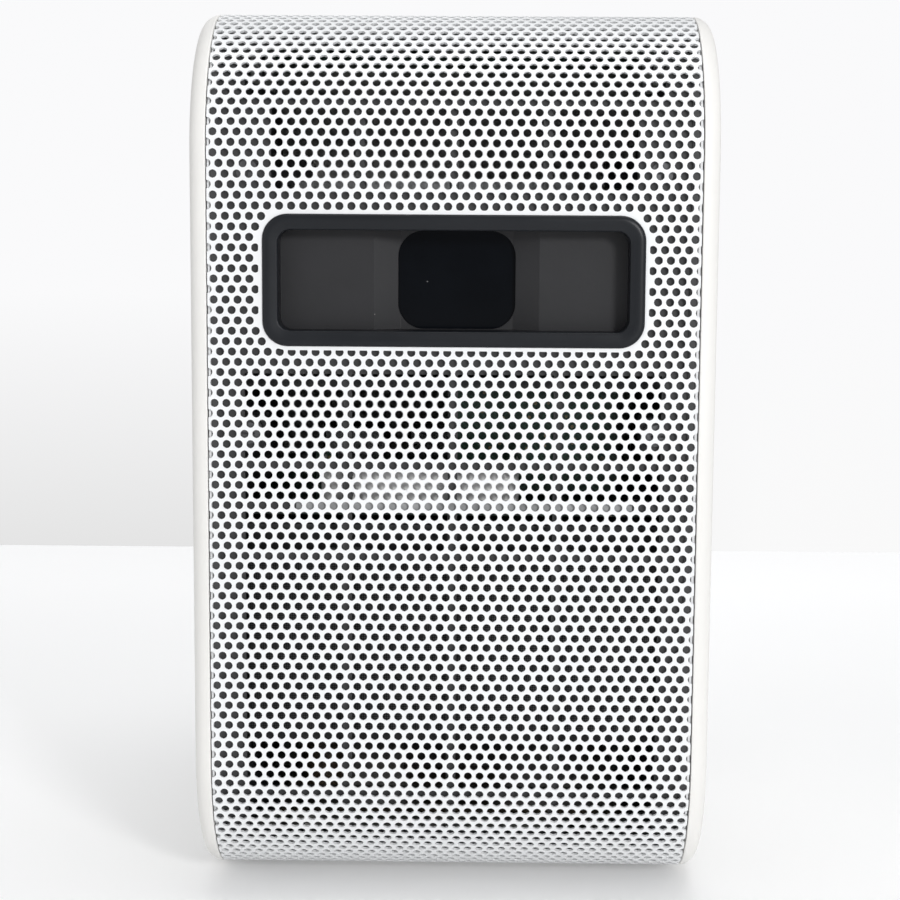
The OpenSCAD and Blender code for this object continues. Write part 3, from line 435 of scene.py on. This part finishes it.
def build_finishes():
    """Every finish, by slot name."""
    return {
        "white_metal": finish("painted_white_steel", (0.80, 0.81, 0.82), 0.42, grain=3200.0,
                              depth=0.012, patches=25.0, mottle=0.03),
        "white_plastic": finish("warm_white_plastic", (0.79, 0.78, 0.755), 0.45, grain=2600.0,
                                depth=0.02, patches=18.0, mottle=0.03),
        "key_plastic": finish("key_plastic", (0.78, 0.77, 0.75), 0.38, grain=2600.0, depth=0.012,
                              mottle=0.03),
        # The ribbed frame is near black as painted shade: its colour stands for the shadow inside the
        # body, seen through the holes.
        "frame_plastic": finish("ribbed_frame_plastic_painted_shade", (0.050, 0.050, 0.052), 0.65, grain=1800.0,
                                depth=0.03, mottle=0.25),
        "grille_cloth": cloth_finish("acoustic_cloth", (0.10, 0.10, 0.105), (0.01, 0.01, 0.01)),
        "bezel_plastic": finish("charcoal_bezel", (0.0075, 0.009, 0.012), 0.36, grain=2200.0,
                                depth=0.015, patches=60.0, mottle=0.12, dust=0.004,
                                gloss=0.25),
        "tray_plastic": finish("charcoal_tray", (0.022, 0.022, 0.0245), 0.55, grain=1500.0,
                               depth=0.02, patches=90.0, mottle=0.25, dust=0.01, gloss=0.3),
        "dark_glass": glass_finish("coated_dark_glass", (0.003, 0.004, 0.006), 0.08, 0.0, 0.05,
                                   0.0, 0.08),
        "foot_rubber": finish("foot_rubber", (0.05, 0.05, 0.052), 0.8, grain=2200.0, depth=0.03,
                              mottle=0.3, dust=0.03),
        "brass_fitting": brushed_finish("turned_brass", (0.75, 0.56, 0.28), 0.3, (1, 1, 6)),
        "light_pipe": glass_finish("frosted_light_pipe", (0.75, 0.78, 0.8), 0.35, 0.4, 0.0, 0.2),
        "circuit_board": board_finish("green_circuit_board", (0.006, 0.028, 0.017),
                                      (0.30, 0.22, 0.11)),
        "power_laminate": board_finish("amber_power_board", (0.045, 0.034, 0.022),
                                       (0.10, 0.10, 0.10)),
        # Plated steel darkened far below its own colour as painted shade for parts deep in the case,
        # so they show no glint through the holes.
        "zinc_steel": finish("zinc_steel_painted_shade", (0.12, 0.122, 0.126), 0.6, grain=700.0,
                             depth=0.01, patches=220.0, mottle=0.3, metallic=0.5),
        "socket_metal": brushed_finish("plated_socket", (0.66, 0.67, 0.68), 0.3, (1, 8, 1)),
        "black_plastic": finish("black_moulding", (0.022, 0.022, 0.024), 0.5, grain=1800.0,
                                depth=0.03, mottle=0.3, dust=0.02),
        "cable_white": finish("flat_cable_jacket", (0.74, 0.74, 0.735), 0.5, grain=1500.0,
                              depth=0.01, mottle=0.06),
        "tape_grey": finish("pale_tape", (0.38, 0.385, 0.39), 0.5, grain=900.0, depth=0.03,
                            patches=160.0, mottle=0.5),
        "ferrite": finish("ferrite_core", (0.05, 0.045, 0.045), 0.6, grain=900.0, depth=0.05,
                          mottle=0.4),
        "sink_aluminium": brushed_finish("extruded_aluminium", (0.74, 0.75, 0.76), 0.35, (1, 1, 9)),
        "copper": brushed_finish("drawn_copper", (0.80, 0.42, 0.27), 0.28, (6, 1, 1)),
        "engine_magnesium": finish("cast_magnesium", (0.085, 0.087, 0.09), 0.6, grain=1100.0,
                                   depth=0.06, mottle=0.15, metallic=0.4),
        "optical_glass": glass_finish("optical_glass", (0.92, 0.95, 1.0), 0.02, 0.9, 0.0),
        "barrel_black": finish("flocked_black_barrel", (0.012, 0.012, 0.013), 0.7, grain=1500.0,
                               depth=0.05, mottle=0.3),
        "mark_grey": finish("printed_grey_mark", (0.16, 0.16, 0.17), 0.5, grain=3000.0,
                            depth=0.005, mottle=0.15),
        "screw_steel": brushed_finish("screw_steel", (0.13, 0.13, 0.135), 0.42, (5, 5, 1)),
    }


finishes = build_finishes()


def dress_cad_nodes():
    """Gives each carried-over CAD node the finish of its slot."""
    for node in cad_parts.values():
        for index, material in enumerate(node.data.materials):
            slot = material.name.split(".")[0]
            node.data.materials[index] = finishes[slot]


# ---------- perforated steel front ----------

# Holes of the stock sheet: their radius, the radius of the coarser hole on the back, the pitch
# along a row and between rows, and the height of row 0 over the body's underside.
HOLE_R = 0.87
BACK_HOLE_R = HOLE_R / math.cos(math.pi / 6)
PITCH = 2.5
ROW_PITCH = PITCH * math.sin(math.radians(60))
FIRST_ROW = 67.05
ROWS_UP, ROWS_DOWN = 64, 38
COLUMNS = 41
HALF_ROW = COLUMNS * PITCH / 2
SHEET_T = 0.55

# Points this far from the end of a row, or nearer, belong to the side edge.
EDGE_TOLERANCE = 0.01

# How far the sheet ends before the covers, and how far it reaches under the bezel's lip.
END_GAP = 0.12
UNDER_LIP = 0.1

# The window's outline over its lip, and the plain margin without holes round it.
bezel_low, bezel_high = box_mm("window_bezel")
WINDOW_W, WINDOW_H = bezel_high[0] - bezel_low[0], bezel_high[2] - bezel_low[2]
WINDOW_S = (bezel_high[2] + bezel_low[2]) / 2 - FOOT_H
WINDOW_R = 5.3
LIP = 1.0
PLAIN_RIM = 0.80
SMALLEST_HOLE = 0.12

# Where the folded edge of the sheet ends and the dark strip of painted shade beside it begins.
FOLD_X = 50.75


def window_distance(flat, grow):
    """Signed distance of flat points (x, s) to the window outline grown by grow, and the foot."""
    radius = max(WINDOW_R + grow, 0.5)
    core = np.array([WINDOW_W / 2 + grow - radius, WINDOW_H / 2 + grow - radius])
    local = flat - np.array([0, WINDOW_S])
    near = np.clip(local, -core, core)
    away = local - near
    length = np.linalg.norm(away, axis=-1)
    inside = length < 1e-6
    slack = core - np.abs(local)
    sideways = slack[..., 0] < slack[..., 1]
    push = np.where(sideways[..., None], [1.0, 0.0], [0.0, 1.0]) * np.sign(local + 1e-9)
    base = np.where(sideways[..., None],
                    np.stack([core[0] * np.sign(local[..., 0] + 1e-9), local[..., 1]], -1),
                    np.stack([local[..., 0], core[1] * np.sign(local[..., 1] + 1e-9)], -1))
    direction = np.where(inside[..., None], push, away / np.maximum(length, 1e-9)[..., None])
    foot = np.where(inside[..., None], base, near) + direction * radius
    distance = np.where(inside, -np.min(slack, axis=-1) - radius, length - radius)
    return distance, foot + np.array([0, WINDOW_S])


def hole_centres():
    """Centres of a staggered pattern: every other row is moved by half a pitch."""
    row = np.arange(-ROWS_UP, ROWS_DOWN + 1)
    even = np.arange(COLUMNS + 1) * PITCH - HALF_ROW
    odd = np.arange(COLUMNS) * PITCH - HALF_ROW + PITCH / 2
    s = FIRST_ROW - ROW_PITCH * row
    centres = [np.stack([x, np.full_like(x, level)], -1)
               for level, x in zip(s, [even if b % 2 == 0 else odd for b in row])]
    return np.concatenate(centres)


def sheet_cells():
    """The six-sided cells: their centres, the ids of their corners, and the corners' flat places.

    Corners past the last rows go to the sheet's ends, and corners in the window to its outline.
    """
    centres = hole_centres()
    corner_angle = np.radians(30 + 60 * np.arange(6))
    corners = centres[:, None] + PITCH / math.sqrt(3) * on_circle(corner_angle)
    flat, index = np.unique(np.round(corners.reshape(-1, 2), 3), axis=0, return_inverse=True)
    index = index.reshape(-1, 6)
    high_row, low_row = FIRST_ROW + ROW_PITCH * ROWS_UP, FIRST_ROW - ROW_PITCH * ROWS_DOWN
    flat[:, 1] = np.where(flat[:, 1] > high_row, HIGH_END - END_GAP, flat[:, 1])
    flat[:, 1] = np.where(flat[:, 1] < low_row, LOW_END + END_GAP, flat[:, 1])
    opening, foot = window_distance(flat, UNDER_LIP - LIP)
    cut = opening < 0
    keep = ~np.all(cut[index], axis=1)
    return centres[keep], index[keep], np.where(cut[:, None], foot, flat)


def perforated_sheet():
    """A sheet of six-sided cells, each with a twelve-sided hole, bent round the side outline.

    A hole that reaches into the plain margin is cut by it. Whatever lies past the last column
    is pulled to the side edge. The points are the cells' corners, front then back, and the
    holes' rims, front then back.
    """
    centres, index, flat = sheet_cells()
    rim, _ = window_distance(centres, PLAIN_RIM)
    holed = rim > SMALLEST_HOLE
    hole_angle = np.radians(30 + 30 * np.arange(12))
    rings = centres[:, None] + HOLE_R * on_circle(hole_angle)
    clip, clip_foot = window_distance(rings, PLAIN_RIM)
    rings = np.where((clip < 0)[..., None], clip_foot, rings)
    spread = BACK_HOLE_R / HOLE_R
    behind = centres[:, None] + (rings[:, ::2] - centres[:, None]) * spread

    edge_x = HALF_ROW - EDGE_TOLERANCE
    at_edge = np.abs(flat[:, 0]) > edge_x
    flat[:, 0] = np.where(at_edge, np.sign(flat[:, 0]) * SHEET_X, flat[:, 0])
    on_side = np.abs(centres[:, 0]) > edge_x
    ring_x = rings[..., 0]
    over = on_side[:, None] & (np.abs(ring_x) > edge_x)
    rings[..., 0] = np.where(over, np.sign(ring_x) * SHEET_X, ring_x)
    behind[..., 0] = np.where(over[:, ::2], np.sign(ring_x[:, ::2]) * SHEET_X, behind[..., 0])
    points = np.concatenate([
        wrap_outline(flat[:, 0], flat[:, 1], 0.0),
        wrap_outline(flat[:, 0], flat[:, 1], SHEET_T),
        wrap_outline(rings[..., 0].ravel(), rings[..., 1].ravel(), 0.0),
        wrap_outline(behind[..., 0].ravel(), behind[..., 1].ravel(), SHEET_T),
    ])
    return points, sheet_faces(centres, index, holed, on_side, len(flat))


def sheet_faces(centres, index, holed, on_side, count):
    """Faces of the cells: six sectors each, with a front, a back and a piece of the hole's wall.

    Cells without a hole stay whole, and the sectors outside the side edges are left out.
    """
    cells = len(centres)
    ring_start = 2 * count
    back_start = ring_start + 12 * cells
    ring_id = ring_start + np.arange(12 * cells).reshape(cells, 12)
    back_id = back_start + np.arange(6 * cells).reshape(cells, 6)
    whole = index[~holed]
    faces = whole.tolist() + (whole[:, ::-1] + count).tolist()
    edges = []
    for k in range(6):
        n = (k + 1) % 6
        edges.append(np.stack([whole[:, k], whole[:, n]], -1))
        middle = math.radians(60 + 60 * k)
        outward = math.cos(middle) * np.sign(centres[:, 0]) > 0.2
        use = holed & ~(on_side & outward)
        a, b = index[use, k], index[use, n]
        p, q, r = ring_id[use, 2 * k], ring_id[use, 2 * k + 1], ring_id[use, (2 * k + 2) % 12]
        u, v = back_id[use, k], back_id[use, n]
        faces += np.stack([a, b, r, q, p], -1).tolist()
        faces += np.stack([p, q, r, v, u], -1).tolist()
        faces += np.stack([b + count, a + count, u, v], -1).tolist()
        edges.append(np.stack([a, b], -1))
        side = on_side[use]
        edges.append(np.stack([b, r], -1)[side])
        edges.append(np.stack([p, a], -1)[side])
    faces += edge_walls(np.concatenate(edges), count, ring_start, back_start)
    return faces


def edge_walls(edges, count, ring_start, back_start):
    """Joins the front to the back wherever an edge of the front has no neighbour."""
    most_points = 10_000_000
    key = edges[:, 0] * most_points + edges[:, 1]
    back_key = edges[:, 1] * most_points + edges[:, 0]
    free = edges[~np.isin(key, back_key)]
    behind = np.where(free < ring_start, free + count, back_start + (free - ring_start) // 2)
    return np.stack([free[:, 1], free[:, 0], behind[:, 0], behind[:, 1]], -1).tolist()


def make_front_grille():
    """The steel sheet with its staggered holes."""
    points, faces = perforated_sheet()
    mesh = bpy.data.meshes.new("perforated_front")
    mesh.from_pydata((points * MM).tolist(), [], faces)
    mesh.validate()
    dress("perforated_front", mesh, finishes["white_metal"], "case", 50.0,
          ["front_grille"])


def make_edge_folds():
    """Behind each side edge: the sheet's fold and a dark strip, swept along the outline; the strip's
    near-black frame finish is painted shade behind the edge holes.
    """
    end_gap, gap, shade_strip_x = 0.4, 0.02, 49.2
    s = np.linspace(LOW_END + end_gap, HIGH_END - end_gap, 90)
    strips = [("edge_fold", FOLD_X, SHEET_X - gap, 0.80, 1.05, "white_metal"),
              # The dark strip takes the frame's finish: painted shade behind the holes at the side
              # edges.
              ("edge_gasket", shade_strip_x, FOLD_X - gap, SHEET_T + 0.05, 1.07, "frame_plastic")]
    for name, inner, outer, near, deep, slot in strips:
        for side_name, side in [("left", -1), ("right", 1)]:
            corners = [(inner, near), (outer, near), (outer, deep), (inner, deep)]
            rows = [wrap_outline(np.full_like(s, side * x), s, d) for x, d in corners]
            put_mesh(f"{side_name}_{name}", np.concatenate(rows), strip_faces(len(s)),
                     finishes[slot])


def make_tape():
    """A strip of pale tape that holds the ribbon cable: a thin slab with a gently waved edge.

    Its half width is a constant plus two sines of the place along it.
    """
    left, right, sections = -33.0, 38.0, 72
    below_cable, behind_front, thickness = 0.75, 0.86, 0.2
    low, _ = box_mm("flat_cable")
    x = np.linspace(left, right, sections)
    half = 0.95 + 0.08 * np.sin(x * 1.7) + 0.05 * np.sin(x * 4.1 + 1.0)
    middle = low[2] - below_cable
    near = FRONT_Y + behind_front
    deep = near + thickness
    rows = [np.stack([x, np.full_like(x, y), middle + edge * half], -1)
            for edge, y in [(-1, near), (1, near), (1, deep), (-1, deep)]]
    put_mesh("cable_tape", np.concatenate(rows), strip_faces(sections), finishes["tape_grey"])


def make_socket_gaskets():
    """A dark ring round each metal socket closes its gap to the rear cover: four loops in turn."""
    gap, reach, thickness, from_mouth = 0.02, 1.3, 0.6, 2.6
    signs = np.array([(-1, -1), (1, -1), (1, 1), (-1, 1)], float)
    for node in ["hdmi_socket", "usb_socket"]:
        low, high = box_mm(node)
        centre, half = (low + high) / 2, (high - low) / 2
        far = high[1] - from_mouth
        loops = []
        for out, y in [(gap, far), (reach, far), (reach, far - thickness), (gap, far - thickness)]:
            x = centre[0] + signs[:, 0] * (half[0] + out)
            z = centre[2] + signs[:, 1] * (half[2] + out)
            loops.append(np.stack([x, np.full(4, y), z], -1))
        put_mesh(node + "_gasket", np.concatenate(loops), grid_faces(4, 4, True, True),
                 finishes["foot_rubber"])


# ---------- window ----------

def make_window_bezel():
    """The bezel: a lipped profile (inward, outward) carried round a rounded rectangle.

    It rolls over from the lip, falls a little across its face, rounds off at the recess and
    drops to its floor. The corner radius shrinks as the profile goes inward.
    """
    proud = FRONT_Y - bezel_low[1]
    floor = bezel_high[1] - FRONT_Y
    recess, wall_top, gap, radius_loss = 3.3, -0.6, 0.01, 0.8
    edge = np.linspace(0, math.pi / 2, 7)
    roll_w, roll_h, inner_r, fall = 1.2, 0.88 * proud, 0.45, 0.3 * proud
    profile = [(roll_w * (1 - math.cos(a)), proud - roll_h * (1 - math.sin(a))) for a in edge]
    profile += [(1.8, proud - 0.3 * fall), (2.4, proud - 0.7 * fall)]
    profile += [(recess - inner_r * (1 - math.sin(a)), proud - fall - inner_r * (1 - math.cos(a)))
                for a in edge]
    profile += [(recess, wall_top), (recess, -floor), (LIP, -floor), (LIP, -gap), (2 * gap, -gap)]
    rows = []
    for inward, outward in profile:
        radius = WINDOW_R - radius_loss * inward
        loop = rounded_loop(WINDOW_W - 2 * inward, WINDOW_H - 2 * inward, radius, 12)
        y = np.full(len(loop), FRONT_Y - outward)
        rows.append(np.stack([loop[:, 0], y, loop[:, 1] + WINDOW_S + FOOT_H], -1))
    columns = len(rows[0])
    faces = grid_faces(len(rows), columns, True, True)
    put_mesh("window_surround", np.concatenate(rows), faces, finishes["bezel_plastic"],
             replaces=["window_bezel"])


def make_window():
    """Bezel, tray and the dark glass that the lens looks through."""
    make_window_bezel()
    softened("window_tray", "recess_tray", 0.1, "tray_plastic", crease=16.0)
    softened("lens_window", "port_glass", 0.15, "dark_glass")


# ---------- side panels ----------

def panel_loop(per_corner=14, per_side=9):
    """Points of the inner rectangle and outward directions all round the side outline."""
    half_y, half_z = -ARC_Y, (ARC_HIGH_Z - ARC_LOW_Z) / 2
    centres = np.array([[half_y, half_z], [-half_y, half_z], [-half_y, -half_z], [half_y, -half_z]])
    anchors, normals = [], []
    for k in range(4):
        angle = np.linspace(k * math.pi / 2, (k + 1) * math.pi / 2, per_corner)
        anchors.append(np.repeat(centres[k][None], per_corner, axis=0))
        normals.append(on_circle(angle))
        share = np.linspace(0, 1, per_side + 2)[1:-1, None]
        anchors.append(centres[k] + share * (centres[(k + 1) % 4] - centres[k]))
        end = (k + 1) * math.pi / 2
        normals.append(np.repeat([[math.cos(end), math.sin(end)]], per_side, axis=0))
    return np.concatenate(anchors), np.concatenate(normals)


def make_side_panel(side, node, name):
    """A domed shell: rim arc, then rings of the outline shrunk by k with height dome (1 - k^2).

    side is -1 for the left and 1 for the right. The inner skin repeats it a wall deeper.
    """
    seam_x, dome_x = SHEET_X + SEAM, abs(box_mm(node)[0 if side < 0 else 1][0])
    rim_r, dome, edge_break = 3.7, 1.5, 0.2
    arc_end = math.radians(86.5)
    anchors, normals = panel_loop()
    mid_z = (ARC_LOW_Z + ARC_HIGH_Z) / 2
    rows = []

    def ring(inset, x, k=1.0):
        flat = (anchors + normals * (CORNER_R - inset)) * k
        rows.append(np.stack([np.full(len(flat), side * x), flat[:, 0], flat[:, 1] + mid_z], -1))

    shrink = 1 - np.linspace(0, 1, 16) ** 1.15
    inner_r = rim_r - WALL
    top_inset = rim_r * (1 - math.cos(arc_end))
    rise = dome_x - dome - rim_r - seam_x
    for k in shrink[::-1]:
        ring(top_inset, dome_x - WALL - dome * k * k, k)
    for a in np.linspace(arc_end, 0, 7):
        ring(WALL + inner_r * (1 - math.cos(a)), seam_x + rise + inner_r * math.sin(a))
    ring(WALL, seam_x)
    ring(edge_break, seam_x)
    ring(0.3 * edge_break, seam_x + 0.3 * edge_break)
    ring(0.0, seam_x + edge_break)
    for a in np.linspace(math.radians(6), arc_end, 12):
        ring(rim_r * (1 - math.cos(a)), seam_x + rise + rim_r * math.sin(a))
    for k in shrink[1:]:
        ring(top_inset, dome_x - dome * k * k, k)
    points = np.concatenate(rows)
    faces = grid_faces(len(rows), len(anchors), False, True)
    put_mesh(name, points, faces, finishes["white_plastic"], replaces=[node])


# ---------- covers and feet ----------

def make_covers():
    """Top, base and rear covers with their moulded edges slightly rounded."""
    for node, width in [("top_cover", 0.3), ("base_cover", 0.25), ("rear_cover", 0.3)]:
        softened(node, f"{node}_shell", width, "white_plastic")


def make_feet():
    """Four rubber feet: a lathe with a round tread edge and a shallow dished sole."""
    _, high = box_mm("rubber_feet")
    radius, dish, edge = 4.9, 0.25, 0.2
    top = high[2]
    profile = [(0, dish), (2.6, dish), (3.1, 0.0), (radius - 0.6, 0.0), (radius - edge, 0.15),
               (radius, 0.55), (radius, top - edge), (radius - edge, top), (0, top)]
    for side in (-1, 1):
        for along in (-1, 1):
            centre = (side * (high[0] - radius), along * (high[1] - radius), 0)
            points, faces = lathe(profile, centre, sides=40)
            where = ("left" if side < 0 else "right") + ("_front" if along < 0 else "_rear")
            put_mesh(f"{where}_foot", points, faces, finishes["foot_rubber"],
                     replaces=["rubber_feet"])


# ---------- keys ----------

# Depth and radius of the dish in a key's top.
KEY_DISH = 0.45
KEY_DISH_R = 5.4


def dish_height(x, y, top):
    """Height of a key's dished top: lowest in the middle, rising with the square of the radius."""
    share = np.minimum(np.hypot(x, y) / KEY_DISH_R, 1.0)
    return top - KEY_DISH * (1 - share ** 2)


def make_key(name):
    """A key: a lathe with a hidden flange, straight wall, round edge and dished top."""
    low, high = box_mm(name)
    centre = (low + high) / 2
    flange, stem_r = 1.1, 2
    radius = (high[0] - low[0]) / 2 - flange
    top, flange_low, flange_high = high[2], high[2] - 4.0, high[2] - 2.8
    profile = [(0, low[2]), (stem_r, low[2]), (stem_r, flange_low), (radius + flange, flange_low),
               (radius + flange, flange_high), (radius, flange_high), (radius, top - 0.5),
               (radius - 0.08, top - 0.24), (radius - 0.26, top - 0.07), (radius - 0.55, top)]
    across = np.linspace(KEY_DISH_R, 0, 10)
    profile += [(r, dish_height(r, 0.0, top)) for r in across]
    points, faces = lathe(profile, (centre[0], centre[1], 0), sides=64)
    put_mesh(f"{name}_cap", points, faces, finishes["key_plastic"], body=name,
             replaces=[name])
    return centre, top


def mark_strip(name, body, centre, top, path):
    """A printed mark on a key: a strip carried along a flat path and laid on the dish.

    Its cross-section is a thin rectangle: half the width to each side of the path, from just
    under the dish to just over it.
    """
    width, under, over = 0.45, -0.12, 0.03
    run = np.vstack([path[1:], path[-1:]]) - np.vstack([path[:1], path[:-1]])
    run /= np.linalg.norm(run, axis=1)[:, None]
    side = np.stack([-run[:, 1], run[:, 0]], -1) * width / 2
    rows = []
    for edge, lift in [(-1, under), (1, under), (1, over), (-1, over)]:
        flat = path + edge * side
        z = dish_height(flat[:, 0], flat[:, 1], top) + lift
        rows.append(np.stack([flat[:, 0] + centre[0], flat[:, 1] + centre[1], z], -1))
    put_mesh(name, np.concatenate(rows), strip_faces(len(path)), finishes["mark_grey"],
             body=body)


def bar(start, end):
    """Points of a straight path."""
    return np.linspace(start, end, 9)


def make_keys():
    """The four keys with plain marks: a power ring, minus, plus and three menu bars."""
    centre, top = make_key("power_button")
    ring_r, reach, menu_half, bar_gap = 2.0, 1.9, 1.7, 1.2
    ring = ring_r * on_circle(np.radians(np.linspace(125, 415, 40)))
    mark_strip("power_mark_ring", "power_button", centre, top, ring)
    mark_strip("power_mark_bar", "power_button", centre, top, bar((0, 0.5), (0, 2.5)))
    centre, top = make_key("volume_down_button")
    level = bar((-reach, 0), (reach, 0))
    mark_strip("minus_mark", "volume_down_button", centre, top, level)
    centre, top = make_key("volume_up_button")
    mark_strip("plus_mark_level", "volume_up_button", centre, top, level)
    mark_strip("plus_mark_upper", "volume_up_button", centre, top, bar((0, 0.22), (0, reach)))
    mark_strip("plus_mark_lower", "volume_up_button", centre, top, bar((0, -reach), (0, -0.22)))
    centre, top = make_key("menu_button")
    for index, y in enumerate((-bar_gap, 0.0, bar_gap)):
        menu_bar = bar((-menu_half, y), (menu_half, y))
        mark_strip(f"menu_mark_{index + 1}", "menu_button", centre, top, menu_bar)


# ---------- speaker cloth ----------

def make_speaker_cloth():
    """Acoustic cloth stretched on the back of the frame: it sinks a little between the ribs.

    The sink is a product of sines of the place between neighbouring ribs.
    """
    low, high = box_mm("speaker_cloth")
    x = np.linspace(low[0], high[0], 73)
    z = np.linspace(low[2], high[2], 33)
    grid_x, grid_z = np.meshgrid(x, z)
    rib_gap, clearance, deepest, thickness = 22.2, 0.02, 0.2, 0.45
    between_ribs = np.abs(np.sin(grid_x / rib_gap * math.pi))
    between_ends = np.sin((grid_z - low[2]) / np.ptp(z) * math.pi)
    near = low[1] + clearance + deepest * between_ribs * between_ends
    front = np.stack([grid_x, near, grid_z], -1).reshape(-1, 3)
    back = np.stack([grid_x, near + thickness, grid_z], -1).reshape(-1, 3)
    rows, columns = grid_x.shape
    half = rows * columns
    faces = grid_faces(rows, columns)
    faces += (np.array(faces)[:, ::-1] + half).tolist()
    ids = np.arange(half).reshape(rows, columns)
    border = np.concatenate([ids[0], ids[1:, -1], ids[-1, -2::-1], ids[-2:0:-1, 0]])
    after = np.roll(border, -1)
    faces += np.stack([border, after, after + half, border + half], -1).tolist()
    cloth = put_mesh("stretched_speaker_cloth", np.concatenate([front, back]), faces,
                     finishes["grille_cloth"], replaces=["speaker_cloth"])


# ---------- stage, lights and camera ----------

# The floor in millimetres: its rear edge and its half width.
FLOOR_BACK = 390.0
FLOOR_WIDE = 3000.0

# Strength of the even light from the room.
ROOM_LIGHT = 0.52

# The camera: place in millimetres, turns in radians and focal length for a 36 mm sensor.
CAMERA_PLACE = (4.366, -451.448, 148.544)
CAMERA_YAW, CAMERA_PITCH, CAMERA_ROLL = 0.01245, -0.12243, -0.00633
FOCAL_LENGTH = 75.492


def make_floor():
    """A wide pale floor that ends a little way behind the projector.

    It glows a little, more at the rear and far in front, where less light from the lamps falls.
    """
    material = finish("paper_floor", (0.87, 0.87, 0.87), 0.6, grain=500.0, depth=0.02, patches=3.0,
                      mottle=0.02)
    corners = [(-1, -FLOOR_WIDE), (1, -FLOOR_WIDE), (1, FLOOR_BACK), (-1, FLOOR_BACK)]
    points = [(side * FLOOR_WIDE, y, 0) for side, y in corners]
    mesh = bpy.data.meshes.new("floor")
    mesh.from_pydata((np.array(points, float) * MM).tolist(), [], [[0, 1, 2, 3]])
    tree = material.node_tree
    shader = tree.nodes["Principled BSDF"]
    split = tree.nodes.new("ShaderNodeSeparateXYZ")
    where = tree.nodes.new("ShaderNodeTexCoord").outputs["Object"]
    tree.links.new(where, split.inputs[0])
    behind = remap(tree, split.outputs[1], -0.15, 0.30, 0.0, 1.0)
    in_front = remap(tree, split.outputs[1], -0.60, -0.90, 0.0, 1.0)
    either = math_node(tree, "MAXIMUM", behind, in_front)
    weak_glow, strong_glow = (0.08, 0.08, 0.08), (0.27, 0.27, 0.27)
    glow = mixed(tree, either, weak_glow, strong_glow)
    tree.links.new(glow, shader.inputs["Emission Color"])
    shader.inputs["Emission Strength"].default_value = 1.0
    mesh.materials.append(material)
    floor = bpy.data.objects.new("floor", mesh)
    bpy.context.scene.collection.objects.link(floor)


def make_surround():
    """A pale room: to the camera it is a little darker low down, and darkest low on the left."""
    world = bpy.data.worlds.new("pale_room")
    bpy.context.scene.world = world
    world.use_nodes = True
    tree = world.node_tree
    tree.nodes.clear()
    out = tree.nodes.new("ShaderNodeOutputWorld")
    glow, seen = [tree.nodes.new("ShaderNodeBackground") for _ in range(2)]
    choose = tree.nodes.new("ShaderNodeMixShader")
    path = tree.nodes.new("ShaderNodeLightPath")
    split = tree.nodes.new("ShaderNodeSeparateXYZ")
    where = tree.nodes.new("ShaderNodeTexCoord")
    tree.links.new(where.outputs["Generated"], split.inputs[0])
    rise = remap(tree, split.outputs[2], -0.17, -0.04, 0.0, 1.0)
    across = remap(tree, split.outputs[0], -0.12, 0.15, 0.0, 1.0)
    low_tint = mixed(tree, across, (0.78, 0.78, 0.78), (0.95, 0.95, 0.95))
    tint = mixed(tree, rise, low_tint, (0.955, 0.955, 0.965))
    tree.links.new(tint, seen.inputs["Color"])
    glow.inputs["Color"].default_value = (0.97, 0.98, 1.0, 1.0)
    glow.inputs["Strength"].default_value = ROOM_LIGHT
    tree.links.new(path.outputs["Is Camera Ray"], choose.inputs[0])
    tree.links.new(glow.outputs[0], choose.inputs[1])
    tree.links.new(seen.outputs[0], choose.inputs[2])
    tree.links.new(choose.outputs[0], out.inputs["Surface"])


def add_light(name, place, target, size, power, tint=(1.0, 1.0, 1.0)):
    """A soft square light that faces a target; lengths in millimetres."""
    lamp = bpy.data.lights.new(name, "AREA")
    lamp.shape = "SQUARE"
    lamp.size = size * MM
    lamp.energy = power
    lamp.color = tint
    holder = bpy.data.objects.new(name, lamp)
    bpy.context.scene.collection.objects.link(holder)
    holder.location = Vector(place) * MM
    holder.rotation_euler = (Vector(target) - Vector(place)).to_track_quat("-Z", "Y").to_euler()


def make_lights():
    """A small key from the upper right, a soft fill from the left, and lights above and behind."""
    middle = (0, 0, 100)
    add_light("key_light", (620, -1230, 500), middle, 240, 9.1)
    add_light("fill_light", (-900, -700, 500), middle, 900, 1.8, (1.0, 0.99, 0.97))
    add_light("top_light", (150, -150, 1400), middle, 700, 5.0)
    add_light("back_light", (-300, 1200, 700), middle, 700, 1.2)


def make_camera():
    """The camera: a yaw about Z, then a pitch about X, then a roll about Y, at its place."""
    turn = Matrix.Rotation(CAMERA_YAW, 3, "Z")
    turn = turn @ Matrix.Rotation(CAMERA_PITCH, 3, "X")
    turn = turn @ Matrix.Rotation(CAMERA_ROLL, 3, "Y")
    right, ahead, up = [turn @ Vector(v) for v in [(1, 0, 0), (0, 1, 0), (0, 0, 1)]]
    lens = bpy.data.cameras.new("studio_camera")
    lens.sensor_width = 36.0
    lens.lens = FOCAL_LENGTH
    lens.clip_start = 0.01
    lens.clip_end = 20.0
    camera = bpy.data.objects.new("studio_camera", lens)
    bpy.context.scene.collection.objects.link(camera)
    axes = Matrix([right, up, -ahead]).transposed()
    camera.matrix_world = Matrix.Translation(Vector(CAMERA_PLACE) * MM) @ axes.to_4x4()
    bpy.context.scene.camera = camera


make_camera()
make_surround()
make_lights()
make_floor()
dress_cad_nodes()
make_front_grille()
make_edge_folds()
make_tape()
make_socket_gaskets()
make_window()
make_side_panel(-1, "left_side_panel", "left_panel_shell")
make_side_panel(1, "right_side_panel", "right_panel_shell")
make_covers()
make_feet()
make_keys()
make_speaker_cloth()
bpy.context.scene.view_settings.view_transform = "Standard"
